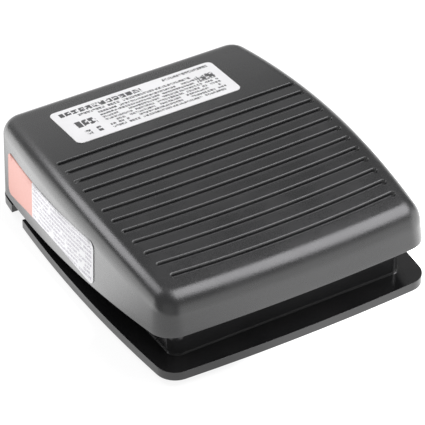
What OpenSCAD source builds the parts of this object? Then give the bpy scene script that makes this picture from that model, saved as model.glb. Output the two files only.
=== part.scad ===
// Low foot switch: a tilting cast pedal over a flanged cast base, with two return springs
// and a snap-action switch between them. X runs across, the toe edge lies at -Y, and the
// origin is on the floor at the middle of the outline. The pedal is drawn at rest.

/* [Overall] */
// Length from the toe edge of the base to the back of the pedal
overall_l = 113.8; // [106:0.2:128]
// Width of the base at its widest
base_w = 100; // [94:1:116]
// Height of the tread crest above the floor when the pedal is level
crest_h = 34.3; // [32:0.1:40]
// Angle by which the springs hold the toe of the pedal up
rest_tilt = 6.3; // [5:0.1:7]
// Angle that the pedal turns through when it is pressed
press_angle = 5; // [3:0.1:5]

/* [Base] */
// Thickness of the base flange
base_t = 3.1; // [2.6:0.1:4.5]
// Bow of each long side of the base
base_side_bow = 2.6; // [1:0.1:4]
// Bow of the toe edge of the base
base_toe_bow = 1.7; // [0.8:0.1:3]
// Radius of the two toe corners of the base
base_toe_r = 6.8; // [5:0.2:12]
// Distance from the toe edge of the base to its widest place
base_mid = 53.4; // [48:0.2:58]
// How far the pedal overhangs the back edge of the base
heel_over = 1.8; // [1.4:0.1:4]
// Width of the flange outside the inner wall
flange_w = 8.4; // [7.5:0.1:10]
// Height of the inner wall above the flange
wall_h = 9.8; // [6:0.2:12]
// Thickness of the inner wall
wall_t = 2.5; // [2:0.1:3.5]

/* [Pedal] */
// How far each side of the pedal reaches out past the base
pedal_over = 0.85; // [0.5:0.05:1.5]
// Bow of each long side of the pedal
pedal_side_bow = 3.1; // [1:0.1:4]
// Bow of the toe wall of the pedal
pedal_toe_bow = 1.9; // [0.8:0.1:3]
// Distance from the toe edge of the base to the widest place of the pedal
pedal_mid = 52.7; // [48:0.1:58]
// How far the base reaches out past the toe wall
toe_step = 0.4; // [0.2:0.1:3]
// Gap between the lower edge of the pedal and the back edge of the base at rest
heel_gap = 0.4; // [0.3:0.1:3]
// Radius of the upright corners at the toe
pedal_toe_r = 8.2; // [7:0.2:14]
// Radius of the upright corners at the back
pedal_back_r = 8.6; // [8:0.2:16]
// Radius of the rounding between the tread and the walls
pedal_edge_r = 6; // [4:0.5:7]
// Radius of the long curve of the tread, seen from the side
tread_r = 362; // [260:2:460]
// Distance of the highest line of the tread from the back, when the pedal is level
crest_setback = 8; // [4:0.5:24]
// Thickness of the pedal walls
pedal_t = 3; // [2.4:0.1:3.6]
// Lean of the pedal walls
draft = 4; // [1:0.5:5]

/* [Tread grooves] */
// Number of grooves
groove_count = 12; // [6:1:13]
// Distance from one groove to the next
groove_pitch = 5.55; // [4:0.05:5.8]
// Distance of the rearmost groove from the back of the pedal
groove_setback = 40.1; // [36:0.1:42]
// Width of a groove
groove_w = 2; // [1:0.1:2.6]
// Depth of a groove
groove_d = 1; // [0.5:0.1:1.4]
// Half length of the rearmost groove
groove_half = 43.4; // [34:0.2:44]
// Bow of the groove nearest the toe
groove_bow = 1.9; // [0:0.1:3.5]
// How much shorter each half of that groove is than the rearmost one
groove_pull = 2.6; // [0:0.1:8]

/* [Labels] */
// Width of the plate on the tread
plate_w = 60.4; // [40:0.2:66]
// Depth of the plate on the tread, front to back
plate_d = 20.8; // [12:0.1:22]
// Gap from the rearmost groove to the plate
plate_gap = 5.2; // [2:0.1:8]
// How far the plate lies left of the middle
plate_shift = 1.9; // [0:0.1:4]
// Length of the strip on the left wall
strip_l = 62.4; // [40:0.2:64]
// Height of the strip on the left wall
strip_h = 15; // [9:0.1:15.4]
// Distance from the back of the pedal to the strip
strip_setback = 11.2; // [10:0.1:20]
// Angle by which the strip lies turned on the wall
strip_turn = 2; // [0:0.1:3]
// Thickness of both labels
label_t = 0.2; // [0.15:0.05:0.4]

/* [Hinge] */
// Distance of the hinge axis from the back of the pedal
hinge_setback = 16.4; // [14:0.1:18]
// Height of the hinge axis above the floor
hinge_h = 8; // [8:0.1:9]
// Diameter of the hinge pins
pin_d = 5; // [4:0.1:5]

/* [Return springs] */
// Wire of the springs
spring_wire = 1.2; // [1:0.1:1.4]
// Outer diameter of the springs
spring_d = 10.4; // [9:0.1:11]
// Turns of each spring
spring_turns = 7; // [5:1:8]

/* [Microswitch] */
// Length of the switch case
switch_l = 27.8; // [27:0.1:28.5]
// Height of the boss that holds the actuator under the tread
act_boss_h = 1.55; // [0.8:0.05:2]
// Width of the switch case
switch_w = 10.3; // [9.5:0.1:11]
// Distance between the two mounting holes along the case
switch_hole_l = 22.2; // [22:0.1:22.4]
// Diameter of the mounting holes
switch_hole_d = 3.1; // [3:0.1:3.2]

/* [Feet and inlet] */
// Height that the rubber feet hold the base above the floor
foot_h = 2; // [1.5:0.1:3]
// Diameter of the rubber feet
foot_d = 12; // [9:0.5:13]
// Bore of the bush where a cord enters
inlet_d = 7; // [5:0.1:7.4]

/* [Hidden] */

// Overrun of every cut, and the clearances between pieces
cut = 1;
slip = 0.05;
gap = 0.3;
round_fn = 64;
arc_fn = 720;

// Overall places
top_z = foot_h + base_t;
toe_y = -overall_l / 2;
hinge_y = overall_l / 2 - hinge_setback;
pin_r = pin_d / 2;
half_bow_l = 49.7;
pedal_w = base_w + 2 * pedal_over;

function radius_of(half, sag) = (half * half + sag * sag) / (2 * sag);
function dir_angle(v) = atan2(v.y, v.x);
function on_circle(c, r, a) = c + r * [cos(a), sin(a)];

// Where circles of radius ra round a and rb round b meet, on the side that has more X
function meet(a, ra, b, rb) =
    let (d = norm(b - a), u = (b - a) / d, along = (ra * ra - rb * rb + d * d) / (2 * d),
        up = sqrt(ra * ra - along * along), n = [-u.y, u.x], p = a + along * u)
    (p + up * n).x > (p - up * n).x ? p + up * n : p - up * n;

// Right half of a bowed outline, from the middle of the toe to the straight back edge,
// as pairs of a point and its outward direction
function half_outline(half_w, side_bow, mid_y, front_y, front_bow, back_y, r_toe, r_back) =
    let (rs = radius_of(half_bow_l, side_bow), rf = radius_of(half_w, front_bow),
        sc = [half_w - rs, mid_y], fc = [0, front_y + rf],
        c1 = meet(fc, rf - r_toe, sc, rs - r_toe),
        back_c = back_y - r_back,
        c2 = [sc.x + sqrt(pow(rs - r_back, 2) - pow(back_c - mid_y, 2)), back_c],
        a0 = -90, a1 = dir_angle(c1 - fc), a2 = dir_angle(c1 - sc), a3 = dir_angle(c2 - sc),
        a4 = 90)
    concat(
        arc_pairs(fc, rf, a0, a1, 8), arc_pairs(c1, r_toe, a1, a2, 8),
        arc_pairs(sc, rs, a2, a3, 18), arc_pairs(c2, r_back, a3, a4, 9),
        [[[c2.x, back_y], [0, 1]]]);

function arc_pairs(c, r, from, to, n) =
    [for (k = [0:n - 1]) let (a = from + (to - from) * k / n) [on_circle(c, r, a), [cos(a), sin(a)]]];

// The whole outline, counterclockwise
function whole(half) = concat(half,
    [for (k = [len(half) - 1:-1:1]) [[-half[k][0].x, half[k][0].y], [-half[k][1].x, half[k][1].y]]]);

// Base places
base_mid_y = toe_y + base_mid;
base_back_y = overall_l / 2 - heel_over;
base_back_r = 6;
base_half = half_outline(base_w / 2, base_side_bow, base_mid_y, toe_y, base_toe_bow,
    base_back_y, base_toe_r, base_back_r);
base_outline = [for (p = whole(base_half)) p[0]];
wall_x = base_w / 2 - flange_w;
wall_toe_y = toe_y + flange_w;
wall_end = 11.5;
wall_back_y = hinge_y - wall_end;
wall_r = 4;
wall_z = top_z + wall_h;
bead = 0.7;

// Pedal places, in the frame of the level pedal
pedal_toe_y = toe_y + toe_step;
skirt_h = hinge_h + (top_z + heel_gap - hinge_h) * cos(rest_tilt)
    + (base_back_y - hinge_y) * sin(rest_tilt);
pedal_mid_y = toe_y + pedal_mid;
crest_y = overall_l / 2 - crest_setback;
back_fillet_z = tread_z(overall_l / 2) - pedal_edge_r;
back_inset = tan(draft) * (back_fillet_z - skirt_h) + pedal_edge_r;
pedal_back_y = hinge_y + back_inset + (overall_l / 2 - pedal_edge_r - hinge_y
    - (back_fillet_z - hinge_h) * sin(rest_tilt)) / cos(rest_tilt);
pedal_half = half_outline(pedal_w / 2, pedal_side_bow, pedal_mid_y, pedal_toe_y, pedal_toe_bow,
    pedal_back_y, pedal_toe_r, pedal_back_r);
pedal_ring = whole(pedal_half);
edge_steps = 8;

// Half width of the pedal along its lower edge
function pedal_side_x(y) = let (rs = radius_of(half_bow_l, pedal_side_bow))
    pedal_w / 2 - rs + sqrt(rs * rs - pow(y - pedal_mid_y, 2));

function tread_z(y) = crest_h - tread_r + sqrt(tread_r * tread_r - pow(y - crest_y, 2));

// Point of the pedal skin over one outline pair. Shell is how deep under the skin it lies,
// and turn runs from 0 on the wall to 90 on the tread.
function skin_point(pair, shell, turn) =
    let (r = pedal_edge_r - shell, lean = tan(draft),
        wall_inset = lean * (tread_z(pair[0].y) - pedal_edge_r - skirt_h),
        inset = wall_inset + shell + r * (1 - cos(turn)), p = pair[0] - inset * pair[1])
    [p.x, p.y, tread_z(p.y) - shell - r * (1 - sin(turn))];

function skin_foot(pair, shell, drop) =
    let (p = pair[0] - (shell - tan(draft) * drop) * pair[1]) [p.x, p.y, skirt_h - drop];

// Solid bounded by the pedal skin, or by the surface that lies shell under it
module pedal_solid(shell, drop) {
    n = len(pedal_ring);
    rings = edge_steps + 2;
    points = concat([for (p = pedal_ring) skin_foot(p, shell, drop)],
        [for (s = [0:edge_steps], p = pedal_ring) skin_point(p, shell, 90 * s / edge_steps)]);
    last = (rings - 1) * n;
    half_n = (n - 1) / 2;
    sides = [for (j = [0:rings - 2], i = [0:n - 1], t = [0, 1]) let (a = j * n + i,
        b = j * n + (i + 1) % n) t == 0 ? [a, b + n, b] : [a, a + n, b + n]];
    lid = [for (i = [0:half_n - 1], t = [0, 1]) let (a = last + i, b = last + i + 1,
        c = last + n - i - 1, d = last + (n - i) % n)
        if (t == 0 || i > 0) t == 0 ? [a, c, b] : [a, d, c]];
    polyhedron(points = points, faces = concat([[for (i = [0:n - 1]) i]], sides, lid),
        convexity = 6);
}

// Turns the level pedal up to where the springs hold it
module at_rest() {
    translate([0, hinge_y, hinge_h]) rotate([-rest_tilt, 0, 0]) translate([0, -hinge_y, -hinge_h])
        children();
}

// Place at rest of a point of the level pedal
function rested(y, z) = let (dy = y - hinge_y, dz = z - hinge_h)
    [hinge_y + dy * cos(rest_tilt) + dz * sin(rest_tilt),
        hinge_h - dy * sin(rest_tilt) + dz * cos(rest_tilt)];

// How far a point sinks when the pedal is pressed all the way
function sink(y) = (hinge_y - y) * sin(press_angle);

// Height of the underside of the tread at rest, over a place on the base
function roof_z(y) = rested(y, tread_z(y) - pedal_t)[1];

module both_sides() {
    children();
    mirror([1, 0, 0]) children();
}

module along_x(x0, x1, y, z, r, fn = round_fn) {
    translate([x0, y, z]) rotate([0, 90, 0]) cylinder(r = r, h = x1 - x0, $fn = fn);
}

module along_y(y0, y1, x, z, r, fn = round_fn) {
    translate([x, y0, z]) rotate([-90, 0, 0]) cylinder(r = r, h = y1 - y0, $fn = fn);
}

module block(x0, x1, y0, y1, z0, z1) {
    translate([x0, y0, z0]) cube([x1 - x0, y1 - y0, z1 - z0]);
}

module post(x, y, z0, z1, r, fn = round_fn) {
    translate([x, y, z0]) cylinder(r = r, h = z1 - z0, $fn = fn);
}

// Solid of revolution about an upright axis, from a half section
module turned(x, y, section) {
    translate([x, y, 0]) rotate_extrude($fn = round_fn) polygon(section);
}

// Flat shape with four rounded corners
module round_rect(x0, x1, y0, y1, r) {
    translate([x0 + r, y0]) square([x1 - x0 - 2 * r, y1 - y0]);
    translate([x0, y0 + r]) square([x1 - x0, y1 - y0 - 2 * r]);
    for (x = [x0 + r, x1 - r], y = [y0 + r, y1 - r]) translate([x, y]) circle(r = r, $fn = round_fn);
}

// Hinge places, from the pin's end at the pedal wall inwards: clip, pedal lug, base ear
lug_r = 4.4;
lug_t = 6;
ear_t = 6.4;
ear_gap = 0.6;
ear_r = 5;
notch_gap = 1.1;
bush_t = 0.8;
bush_flange = 0.4;
clip_t = 0.7;
clip_r = 4;
clip_bite = 0.4;
pin_inset = 1;
pin_end = 1.2;
pin_side_gap = 0.844;
pin_x1 = pedal_side_x(hinge_y) - pedal_t - pin_side_gap;
clip_x = pin_x1 - pin_end - clip_t;
lug_x = clip_x - gap - lug_t;
ear_x = lug_x - ear_gap - ear_t;
pin_x0 = ear_x - pin_inset;

// Foot places
foot_inset = 1.2;
foot_edge_toe = 12;
foot_edge_back = 26;
foot_from_toe = 13;
foot_from_back = 8;
foot_x_toe = base_w / 2 - foot_edge_toe;
foot_x_back = base_w / 2 - foot_edge_back;
foot_y_toe = toe_y + foot_from_toe;
foot_y_back = base_back_y - foot_from_back;
foot_places = [[-foot_x_toe, foot_y_toe], [foot_x_toe, foot_y_toe],
    [-foot_x_back, foot_y_back], [foot_x_back, foot_y_back]];
foot_screw_r = 1.5;
foot_head_r = 2.9;
foot_head_t = 1.5;
foot_head_z = 0.5;
foot_screw_cover = 0.4;
foot_screw_top = top_z - foot_screw_cover;

// Spring places
spring_edge = 23;
spring_from_toe = 24.5;
spring_x = base_w / 2 - spring_edge;
spring_y = toe_y + spring_from_toe;
peg_gap = 0.4;
spring_peg_r = spring_d / 2 - spring_wire - peg_gap;
spring_peg_h = 4;
spring_seat = 3;
spring_z1 = roof_z(spring_y) - spring_seat;
boss_sink = pedal_t / 3;

// Limit strap places: the pedal's hook reaches under the strap's tongue
strap_w = 20;
strap_t = 1.5;
strap_from_wall = 7.5;
strap_tongue = 8;
strap_foot = 12;
strap_rise = 11;
strap_y0 = wall_toe_y + strap_from_wall;
strap_y1 = strap_y0 + strap_tongue;
strap_y2 = strap_y1 + strap_foot;
strap_z = top_z + strap_rise;
strap_screw_x = 5.5;
strap_screw_in = 5;
strap_screw_y = strap_y2 - strap_screw_in;
hook_t = 2;
hook_w = 12;
hook_gap = 1.9;
hook_reach = 3.5;
hook_y0 = wall_toe_y + wall_t + hook_gap;
hook_y1 = strap_y0 + hook_reach;
hook_z1 = strap_z - gap;
hook_z0 = hook_z1 - hook_t;

// Small screws
m4_r = 2;
m4_head_r = 3.5;
m4_head_h = 2.4;
m4_len = 4.5;
m3_r = 1.5;
m3_head_r = 2.75;
m3_head_h = 2;
m3_nut_r = 3.1;
m3_nut_h = 2.2;
slot_w = 0.9;
slot_d = 0.9;

// Switch places
switch_share = 0.1515;
switch_arm = 41.5;
case_x0 = -base_w * switch_share;
cover_t = 1.5;
case_wall = 1.2;
case_x1 = case_x0 + switch_w - cover_t;
case_mid_x = case_x0 + switch_w / 2;
case_y0 = hinge_y - switch_arm;
case_y1 = case_y0 + switch_l;

// Lever places along the case. The case is as high as the lever, the actuator and its boss
// leave it room under the tread.
lever_inset = 3.8;
lever_rise = 0.9;
lever_t = 0.6;
lever_w = 4.4;
lever_free = 9.4;
lever_arm = 20;
lever_over = 3;
lever_eye_r = 0.85;
lever_pin_r = 0.5;
ear_plate = 0.9;
lever_y = case_y1 - lever_inset;
push_y = lever_y - lever_arm;
under_h = roof_z(push_y) - top_z;
act_rise = lever_rise + lever_t / 2 + lever_arm * tan(lever_free) + gap;
act_tip_share = 0.11;
act_tip = under_h * act_tip_share;
case_lift = 2;
switch_h = under_h - case_lift - act_rise - act_tip - act_boss_h;
case_z0 = top_z + case_lift;
case_z1 = case_z0 + switch_h;
hole_edge = (switch_l - switch_hole_l) / 2;
hole_y = [case_y0 + hole_edge, case_y1 - hole_edge];
hole_inset = 2.86;
hole_z = [case_z0 + hole_inset, case_z1 - hole_inset];
hole_r = switch_hole_d / 2;
hole_boss = 1.1;
boss_r = hole_r + hole_boss;
lever_z = case_z1 + lever_rise;

// Bracket places
bracket_t = 1.5;
bracket_share = 0.123;
bracket_foot = base_w * bracket_share;
bracket_over = 1.2;
bracket_x1 = case_x0;
bracket_x0 = bracket_x1 - bracket_foot;
bracket_y0 = case_y0 - bracket_over;
bracket_y1 = case_y1 + bracket_over;
bracket_z1 = case_z1 - bracket_over;
bracket_screw_share = 0.34;
bracket_screw_x = bracket_x0 + bracket_foot * bracket_screw_share;
bracket_screw_shares = [0.4, 0.83];
bracket_screw_y = [for (s = bracket_screw_shares) case_y0 + s * switch_l];

// Stop places, between the bracket and the inner wall
stop_share = 0.476;
pad_share = 0.386;
stop_room = wall_x - wall_t + bracket_x0;
stop_x = -bracket_x0 + stop_room * stop_share;
stop_arm = 29.5;
stop_y = hinge_y - stop_arm;
pad_r = stop_room * pad_share;
pad_h = 3;
pad_post_h = 1.8;
pad_top = top_z + pad_post_h + pad_h;
stop_rim = 0.5;
stop_r = pad_r - stop_rim;
stop_z = pad_top + sink(stop_y - stop_r) + gap;

// Plunger places
plunger_arm = 8;
plunger_r = 1.4;
plunger_y = lever_y - plunger_arm;
plunger_gap = 0.26;
plunger_z1 = lever_z - lever_t / 2 + plunger_arm * tan(lever_free) - plunger_gap;
plunger_travel = sink(push_y) * plunger_arm / lever_arm;

// Places of the contacts inside the case. The blade starts in front of the rear screw boss,
// and the leaves lie over each other from the floor of the case up.
blade_t = 0.4;
blade_w = 4;
blade_reach = 6.5;
blade_y = hole_y[1] - boss_r - gap - blade_t;
blade_tip_y = plunger_y - blade_reach;
blade_swing = asin(plunger_travel / (blade_y - plunger_y));
blade_drop = (blade_y - blade_tip_y) * sin(blade_swing);
leaf_share = 0.05;
contact_share = 0.044;
leaf_t = switch_h * leaf_share;
contact_r = 1.4;
contact_h = switch_h * contact_share;
contact_y = blade_tip_y + contact_r;
shelf_z = case_z0 + case_wall + gap;
link_z = shelf_z + leaf_t + gap;
open_z = link_z + 2 * leaf_t + gap;
blade_z = open_z + contact_h + gap / 2 + blade_t / 2 + blade_drop;
closed_z = blade_z + blade_t / 2 + contact_h + gap / 2;
seat_z = blade_z - blade_t - gap;
plunger_z0 = blade_z + blade_t / 2 + gap;
tab_w = 6.3;
tab_t = 0.8;
tab_out = 7;
tab_side = 2.4;
tab_lift = 0.6;
tab_shares = [0.194, 0.504, 0.806];
tab_x1 = case_x0 + switch_w + tab_out;
tab_x0 = case_mid_x - tab_side;
tab_z = top_z + tab_lift;
tab_y = [for (s = tab_shares) case_y0 + s * switch_l];
riser_y = [[hole_y[0] + boss_r + gap, tab_y[0] + tab_w / 2],
    [tab_y[1], tab_y[1] + tab_w / 2], [blade_y - blade_t, blade_y + blade_t]];

// Actuator places
act_x = case_mid_x;
act_r = m4_r;
act_z0 = case_z1 + act_rise;
act_nut_h = 2;
act_nut_r = 3.6;
act_boss_r = 4.6;
act_nut_z1 = act_z0 + act_tip;

// Inlet places
inlet_rise = 6;
inlet_z = hinge_h + inlet_rise;
inlet_wall = 1.5;
inlet_flange_t = 1.3;
inlet_lip = 1.1;
inlet_flange_r = inlet_d / 2 + inlet_wall + inlet_lip;
tower_wall = 3.5;
tower_x = inlet_d / 2 + inlet_wall + tower_wall;
tower_l = 7.5;
tower_y0 = base_back_y - tower_l;
tower_y1 = base_back_y;
tower_gap = 1;

// Earth stud places
earth_share = 0.2;
earth_arm = 22;
earth_x = base_w * earth_share;
earth_y = hinge_y - earth_arm;
earth_boss_r = 5;
earth_boss_h = 1.6;
earth_washer_r = 4.4;
earth_washer_t = 0.8;

// Tread places
groove_y = overall_l / 2 - groove_setback;
groove_steps = 10;
end_steps = 6;
plate_y0 = groove_y + groove_w / 2 + plate_gap;
plate_r = 2;
strip_y1 = overall_l / 2 - strip_setback;
strip_rise = 2.3;
strip_z0 = skirt_h + strip_rise;
strip_r = 2.2;
label_lift = 0.02;
strip_cols = 18;

// One bowed groove as a flat outline with round ends
function groove_outline(k) =
    let (share = k / (groove_count - 1), e = groove_half - groove_pull * share * share - groove_w / 2,
        bow = groove_bow * share, y0 = groove_y - k * groove_pitch, h = groove_w / 2,
        mid = [for (i = [0:groove_steps]) let (x = -e + 2 * e * i / groove_steps)
            [x, y0 - bow * (1 - pow(x / groove_half, 2)), atan(2 * bow * x / pow(groove_half, 2))]],
        last = mid[groove_steps], first = mid[0])
    concat(
        [for (m = mid) [m[0], m[1]] + h * [cos(m[2] - 90), sin(m[2] - 90)]],
        [for (i = [1:end_steps - 1]) [last[0], last[1]]
            + h * [cos(last[2] - 90 + 180 * i / end_steps), sin(last[2] - 90 + 180 * i / end_steps)]],
        [for (i = [groove_steps:-1:0]) let (m = mid[i])
            [m[0], m[1]] + h * [cos(m[2] + 90), sin(m[2] + 90)]],
        [for (i = [1:end_steps - 1]) [first[0], first[1]]
            + h * [cos(first[2] + 90 + 180 * i / end_steps), sin(first[2] + 90 + 180 * i / end_steps)]]);

// Roller-shaped body whose top lies depth under the tread
module under_tread(depth, half_x) {
    along_x(-half_x, half_x, crest_y, crest_h - tread_r, tread_r - depth, arc_fn);
}

module groove_cuts() {
    difference() {
        translate([0, 0, crest_h - 3 * pedal_edge_r]) linear_extrude(height = 4 * pedal_edge_r)
            for (k = [0:groove_count - 1]) polygon(groove_outline(k));
        under_tread(groove_d, pedal_w);
    }
}

module flange() {
    dip = hinge_h - top_z;
    notch_r = sqrt(max(lug_r * lug_r - dip * dip, 0)) + notch_gap;
    difference() {
        translate([0, 0, foot_h]) linear_extrude(height = base_t) polygon(base_outline);
        both_sides() block(lug_x - notch_gap, base_w, hinge_y - notch_r, hinge_y + notch_r,
            foot_h - cut, top_z + cut);
    }
}

module inner_wall() {
    back = wall_back_y;
    difference() {
        union() {
            translate([0, 0, top_z]) linear_extrude(height = wall_h)
                round_rect(-wall_x, wall_x, wall_toe_y, back + wall_r, wall_r);
            translate([0, 0, top_z]) linear_extrude(height = bead)
                round_rect(-wall_x - bead, wall_x + bead, wall_toe_y - bead, back + wall_r, wall_r);
        }
        translate([0, 0, top_z - cut]) linear_extrude(height = wall_h + 2 * cut)
            round_rect(-wall_x + wall_t, wall_x - wall_t, wall_toe_y + wall_t, back + 3 * wall_r,
                wall_r - wall_t / 2);
        block(-base_w, base_w, back, back + 3 * wall_r, top_z - cut, wall_z + cut);
    }
}

module hinge_ear() {
    block(ear_x, ear_x + ear_t, hinge_y - ear_r, hinge_y + ear_r, top_z, hinge_h);
    along_x(ear_x, ear_x + ear_t, hinge_y, hinge_h, ear_r);
}

module inlet_tower() {
    block(-tower_x, tower_x, tower_y0, tower_y1, top_z, inlet_z);
    along_y(tower_y0, tower_y1, 0, inlet_z, tower_x);
}

module base_casting() {
    color([0.08, 0.08, 0.085]) difference() {
        union() {
            flange();
            inner_wall();
            both_sides() hinge_ear();
            both_sides() post(spring_x, spring_y, top_z, top_z + spring_peg_h, spring_peg_r);
            both_sides() post(stop_x, stop_y, top_z, top_z + pad_post_h, pad_r);
            post(earth_x, earth_y, top_z, top_z + earth_boss_h, earth_boss_r);
            inlet_tower();
        }
        both_sides() along_x(ear_x - cut, ear_x + ear_t + cut, hinge_y, hinge_h, pin_r + slip);
        along_y(tower_y0 - cut, tower_y1 + cut, 0, inlet_z, inlet_d / 2 + inlet_wall + slip);
        for (p = foot_places) {
            post(p.x, p.y, foot_h - cut, foot_h + foot_inset, foot_d / 2 + slip);
            post(p.x, p.y, foot_h, foot_screw_top, foot_screw_r + slip);
        }
        for (y = bracket_screw_y) post(bracket_screw_x, y, foot_h + cut, top_z + cut, m4_r + slip);
        for (x = [-strap_screw_x, strap_screw_x])
            post(x, strap_screw_y, foot_h + cut, top_z + cut, m4_r + slip);
        post(earth_x, earth_y, foot_h + cut, top_z + 2 * earth_boss_h, m4_r + slip);
    }
}

module rubber_feet() {
    color([0.12, 0.12, 0.12]) for (p = foot_places) difference() {
        post(p.x, p.y, 0, foot_h + foot_inset, foot_d / 2);
        post(p.x, p.y, -cut, foot_head_z + foot_head_t, foot_head_r + slip);
        post(p.x, p.y, 0, foot_h + 2 * foot_inset, foot_screw_r + slip);
    }
}

module foot_screws() {
    color([0.7, 0.7, 0.72]) for (p = foot_places) {
        head_z1 = foot_head_z + foot_head_t;
        difference() {
            post(p.x, p.y, foot_head_z, head_z1, foot_head_r);
            block(p.x - slot_w / 2, p.x + slot_w / 2, p.y - foot_head_r, p.y + foot_head_r,
                foot_head_z - cut, foot_head_z + slot_d / 2);
        }
        post(p.x, p.y, head_z1, foot_screw_top, foot_screw_r);
    }
}

// Screw that points down from a head on top of what it holds
module m4_screw(x, y, z, depth) {
    post(x, y, z - depth, z, m4_r);
    difference() {
        post(x, y, z, z + m4_head_h, m4_head_r);
        block(x - m4_head_r, x + m4_head_r, y - slot_w / 2, y + slot_w / 2,
            z + m4_head_h - slot_d, z + m4_head_h + cut);
    }
}

module cord_bush() {
    outer = inlet_d / 2 + inlet_wall;
    color([0.15, 0.15, 0.16]) difference() {
        union() {
            along_y(tower_y0, tower_y1, 0, inlet_z, outer);
            along_y(tower_y1, tower_y1 + inlet_flange_t, 0, inlet_z, inlet_flange_r);
            along_y(tower_y0 - inlet_flange_t, tower_y0, 0, inlet_z, inlet_flange_r);
        }
        along_y(tower_y0 - 2 * inlet_flange_t, tower_y1 + 2 * inlet_flange_t, 0, inlet_z, inlet_d / 2);
    }
}

module stop_pads() {
    color([0.1, 0.1, 0.1]) both_sides()
        post(stop_x, stop_y, top_z + pad_post_h, pad_top, pad_r);
}

module limit_strap() {
    half = strap_w / 2;
    color([0.72, 0.72, 0.74]) difference() {
        union() {
            block(-half, half, strap_y1, strap_y2, top_z, top_z + strap_t);
            block(-half, half, strap_y1, strap_y1 + strap_t, top_z, strap_z + strap_t);
            block(-half, half, strap_y0, strap_y1 + strap_t, strap_z, strap_z + strap_t);
        }
        for (x = [-strap_screw_x, strap_screw_x])
            post(x, strap_screw_y, top_z - cut, top_z + strap_t + cut, m4_r + 2 * slip);
    }
}

module limit_screws() {
    color([0.75, 0.75, 0.78]) for (x = [-strap_screw_x, strap_screw_x])
        m4_screw(x, strap_screw_y, top_z + strap_t, strap_t + base_t - cut);
}

module switch_bracket() {
    color([0.72, 0.72, 0.74]) difference() {
        union() {
            block(bracket_x0, bracket_x1, bracket_y0, bracket_y1, top_z, top_z + bracket_t);
            block(bracket_x1 - bracket_t, bracket_x1, bracket_y0, bracket_y1, top_z, bracket_z1);
        }
        for (i = [0, 1]) along_x(bracket_x1 - bracket_t - cut, bracket_x1 + cut, hole_y[i], hole_z[i],
            hole_r);
        for (y = bracket_screw_y)
            post(bracket_screw_x, y, top_z - cut, top_z + bracket_t + cut, m4_r + 2 * slip);
    }
}

module bracket_screws() {
    color([0.75, 0.75, 0.78]) for (y = bracket_screw_y)
        m4_screw(bracket_screw_x, y, top_z + bracket_t, bracket_t + base_t - cut);
}

// Slots in the case floor that the three terminals pass through
module tab_slots() {
    for (r = riser_y) block(tab_x0 - slip, tab_x0 + tab_t + slip, r[0] - slip, r[1] + slip,
        case_z0 - cut, case_z0 + case_wall + cut);
}

module switch_case() {
    color([0.13, 0.13, 0.14]) difference() {
        union() {
            difference() {
                block(case_x0, case_x1, case_y0, case_y1, case_z0, case_z1);
                block(case_x0 + case_wall, case_x1 + cut, case_y0 + case_wall, case_y1 - case_wall,
                    case_z0 + case_wall, case_z1 - case_wall);
            }
            for (i = [0, 1]) along_x(case_x0, case_x1, hole_y[i], hole_z[i], boss_r);
            for (s = [-1, 1]) lever_ear(s);
        }
        for (i = [0, 1]) along_x(case_x0 - cut, case_x1 + cut, hole_y[i], hole_z[i], hole_r);
        post(case_mid_x, plunger_y, blade_z, case_z1 + cut, plunger_r + slip);
        along_x(case_x0 - cut, case_x1 + switch_w, lever_y, lever_z, lever_pin_r + slip);
        tab_slots();
    }
}

// One of the two small ears that carry the lever's pin
module lever_ear(s) {
    inner = lever_w / 2 + gap;
    x = case_mid_x + s * (inner + ear_plate / 2);
    block(x - ear_plate / 2, x + ear_plate / 2, lever_y - 2 * lever_eye_r, lever_y + 2 * lever_eye_r,
        case_z1 - case_wall / 2, lever_z + lever_eye_r);
}

module switch_cover() {
    color([0.16, 0.16, 0.17]) difference() {
        block(case_x1, case_x1 + cover_t, case_y0, case_y1, case_z0, case_z1);
        for (i = [0, 1]) along_x(case_x1 - cut, case_x1 + 2 * cover_t, hole_y[i], hole_z[i], hole_r);
    }
}

// Terminal: a tab under the case with a riser through the floor
module terminal(i, up_z) {
    block(tab_x0, tab_x1, tab_y[i] - tab_w / 2, tab_y[i] + tab_w / 2, tab_z, tab_z + tab_t);
    block(tab_x0, tab_x0 + tab_t, riser_y[i][0], riser_y[i][1], tab_z, up_z);
}

// The seat that the blade turns on
module terminal_common() {
    color([0.8, 0.65, 0.3]) {
        terminal(2, seat_z);
        block(tab_x0, case_mid_x + blade_w / 2, riser_y[2][0], riser_y[2][1], seat_z - leaf_t, seat_z);
    }
}

// The closed contact lies over the blade tip, and the open contact under it
module terminal_closed() {
    half = blade_w / 2;
    x0 = case_x0 + case_wall + slip;
    color([0.8, 0.65, 0.3]) {
        terminal(1, link_z + leaf_t);
        block(tab_x0, tab_x0 + tab_t, contact_y, riser_y[1][1], link_z, link_z + leaf_t);
        block(x0, tab_x0 + tab_t, contact_y - half, contact_y + half, link_z, link_z + leaf_t);
        block(x0, x0 + leaf_t, contact_y - half, contact_y + half, link_z, closed_z + leaf_t);
        block(x0, case_mid_x + half, contact_y - half, contact_y + half, closed_z,
            closed_z + leaf_t);
        post(case_mid_x, contact_y, closed_z - contact_h, closed_z, contact_r);
    }
}

module terminal_open() {
    half = blade_w / 2;
    x1 = case_mid_x + half;
    color([0.8, 0.65, 0.3]) {
        terminal(0, shelf_z + leaf_t);
        block(tab_x0, x1, riser_y[0][0], contact_y + half, shelf_z, shelf_z + leaf_t);
        block(x1 - leaf_t, x1, contact_y - half, contact_y + half, shelf_z, open_z);
        block(case_mid_x - half, x1, contact_y - half, contact_y + half, open_z - leaf_t, open_z);
        post(case_mid_x, contact_y, open_z, open_z + contact_h, contact_r);
    }
}

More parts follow.
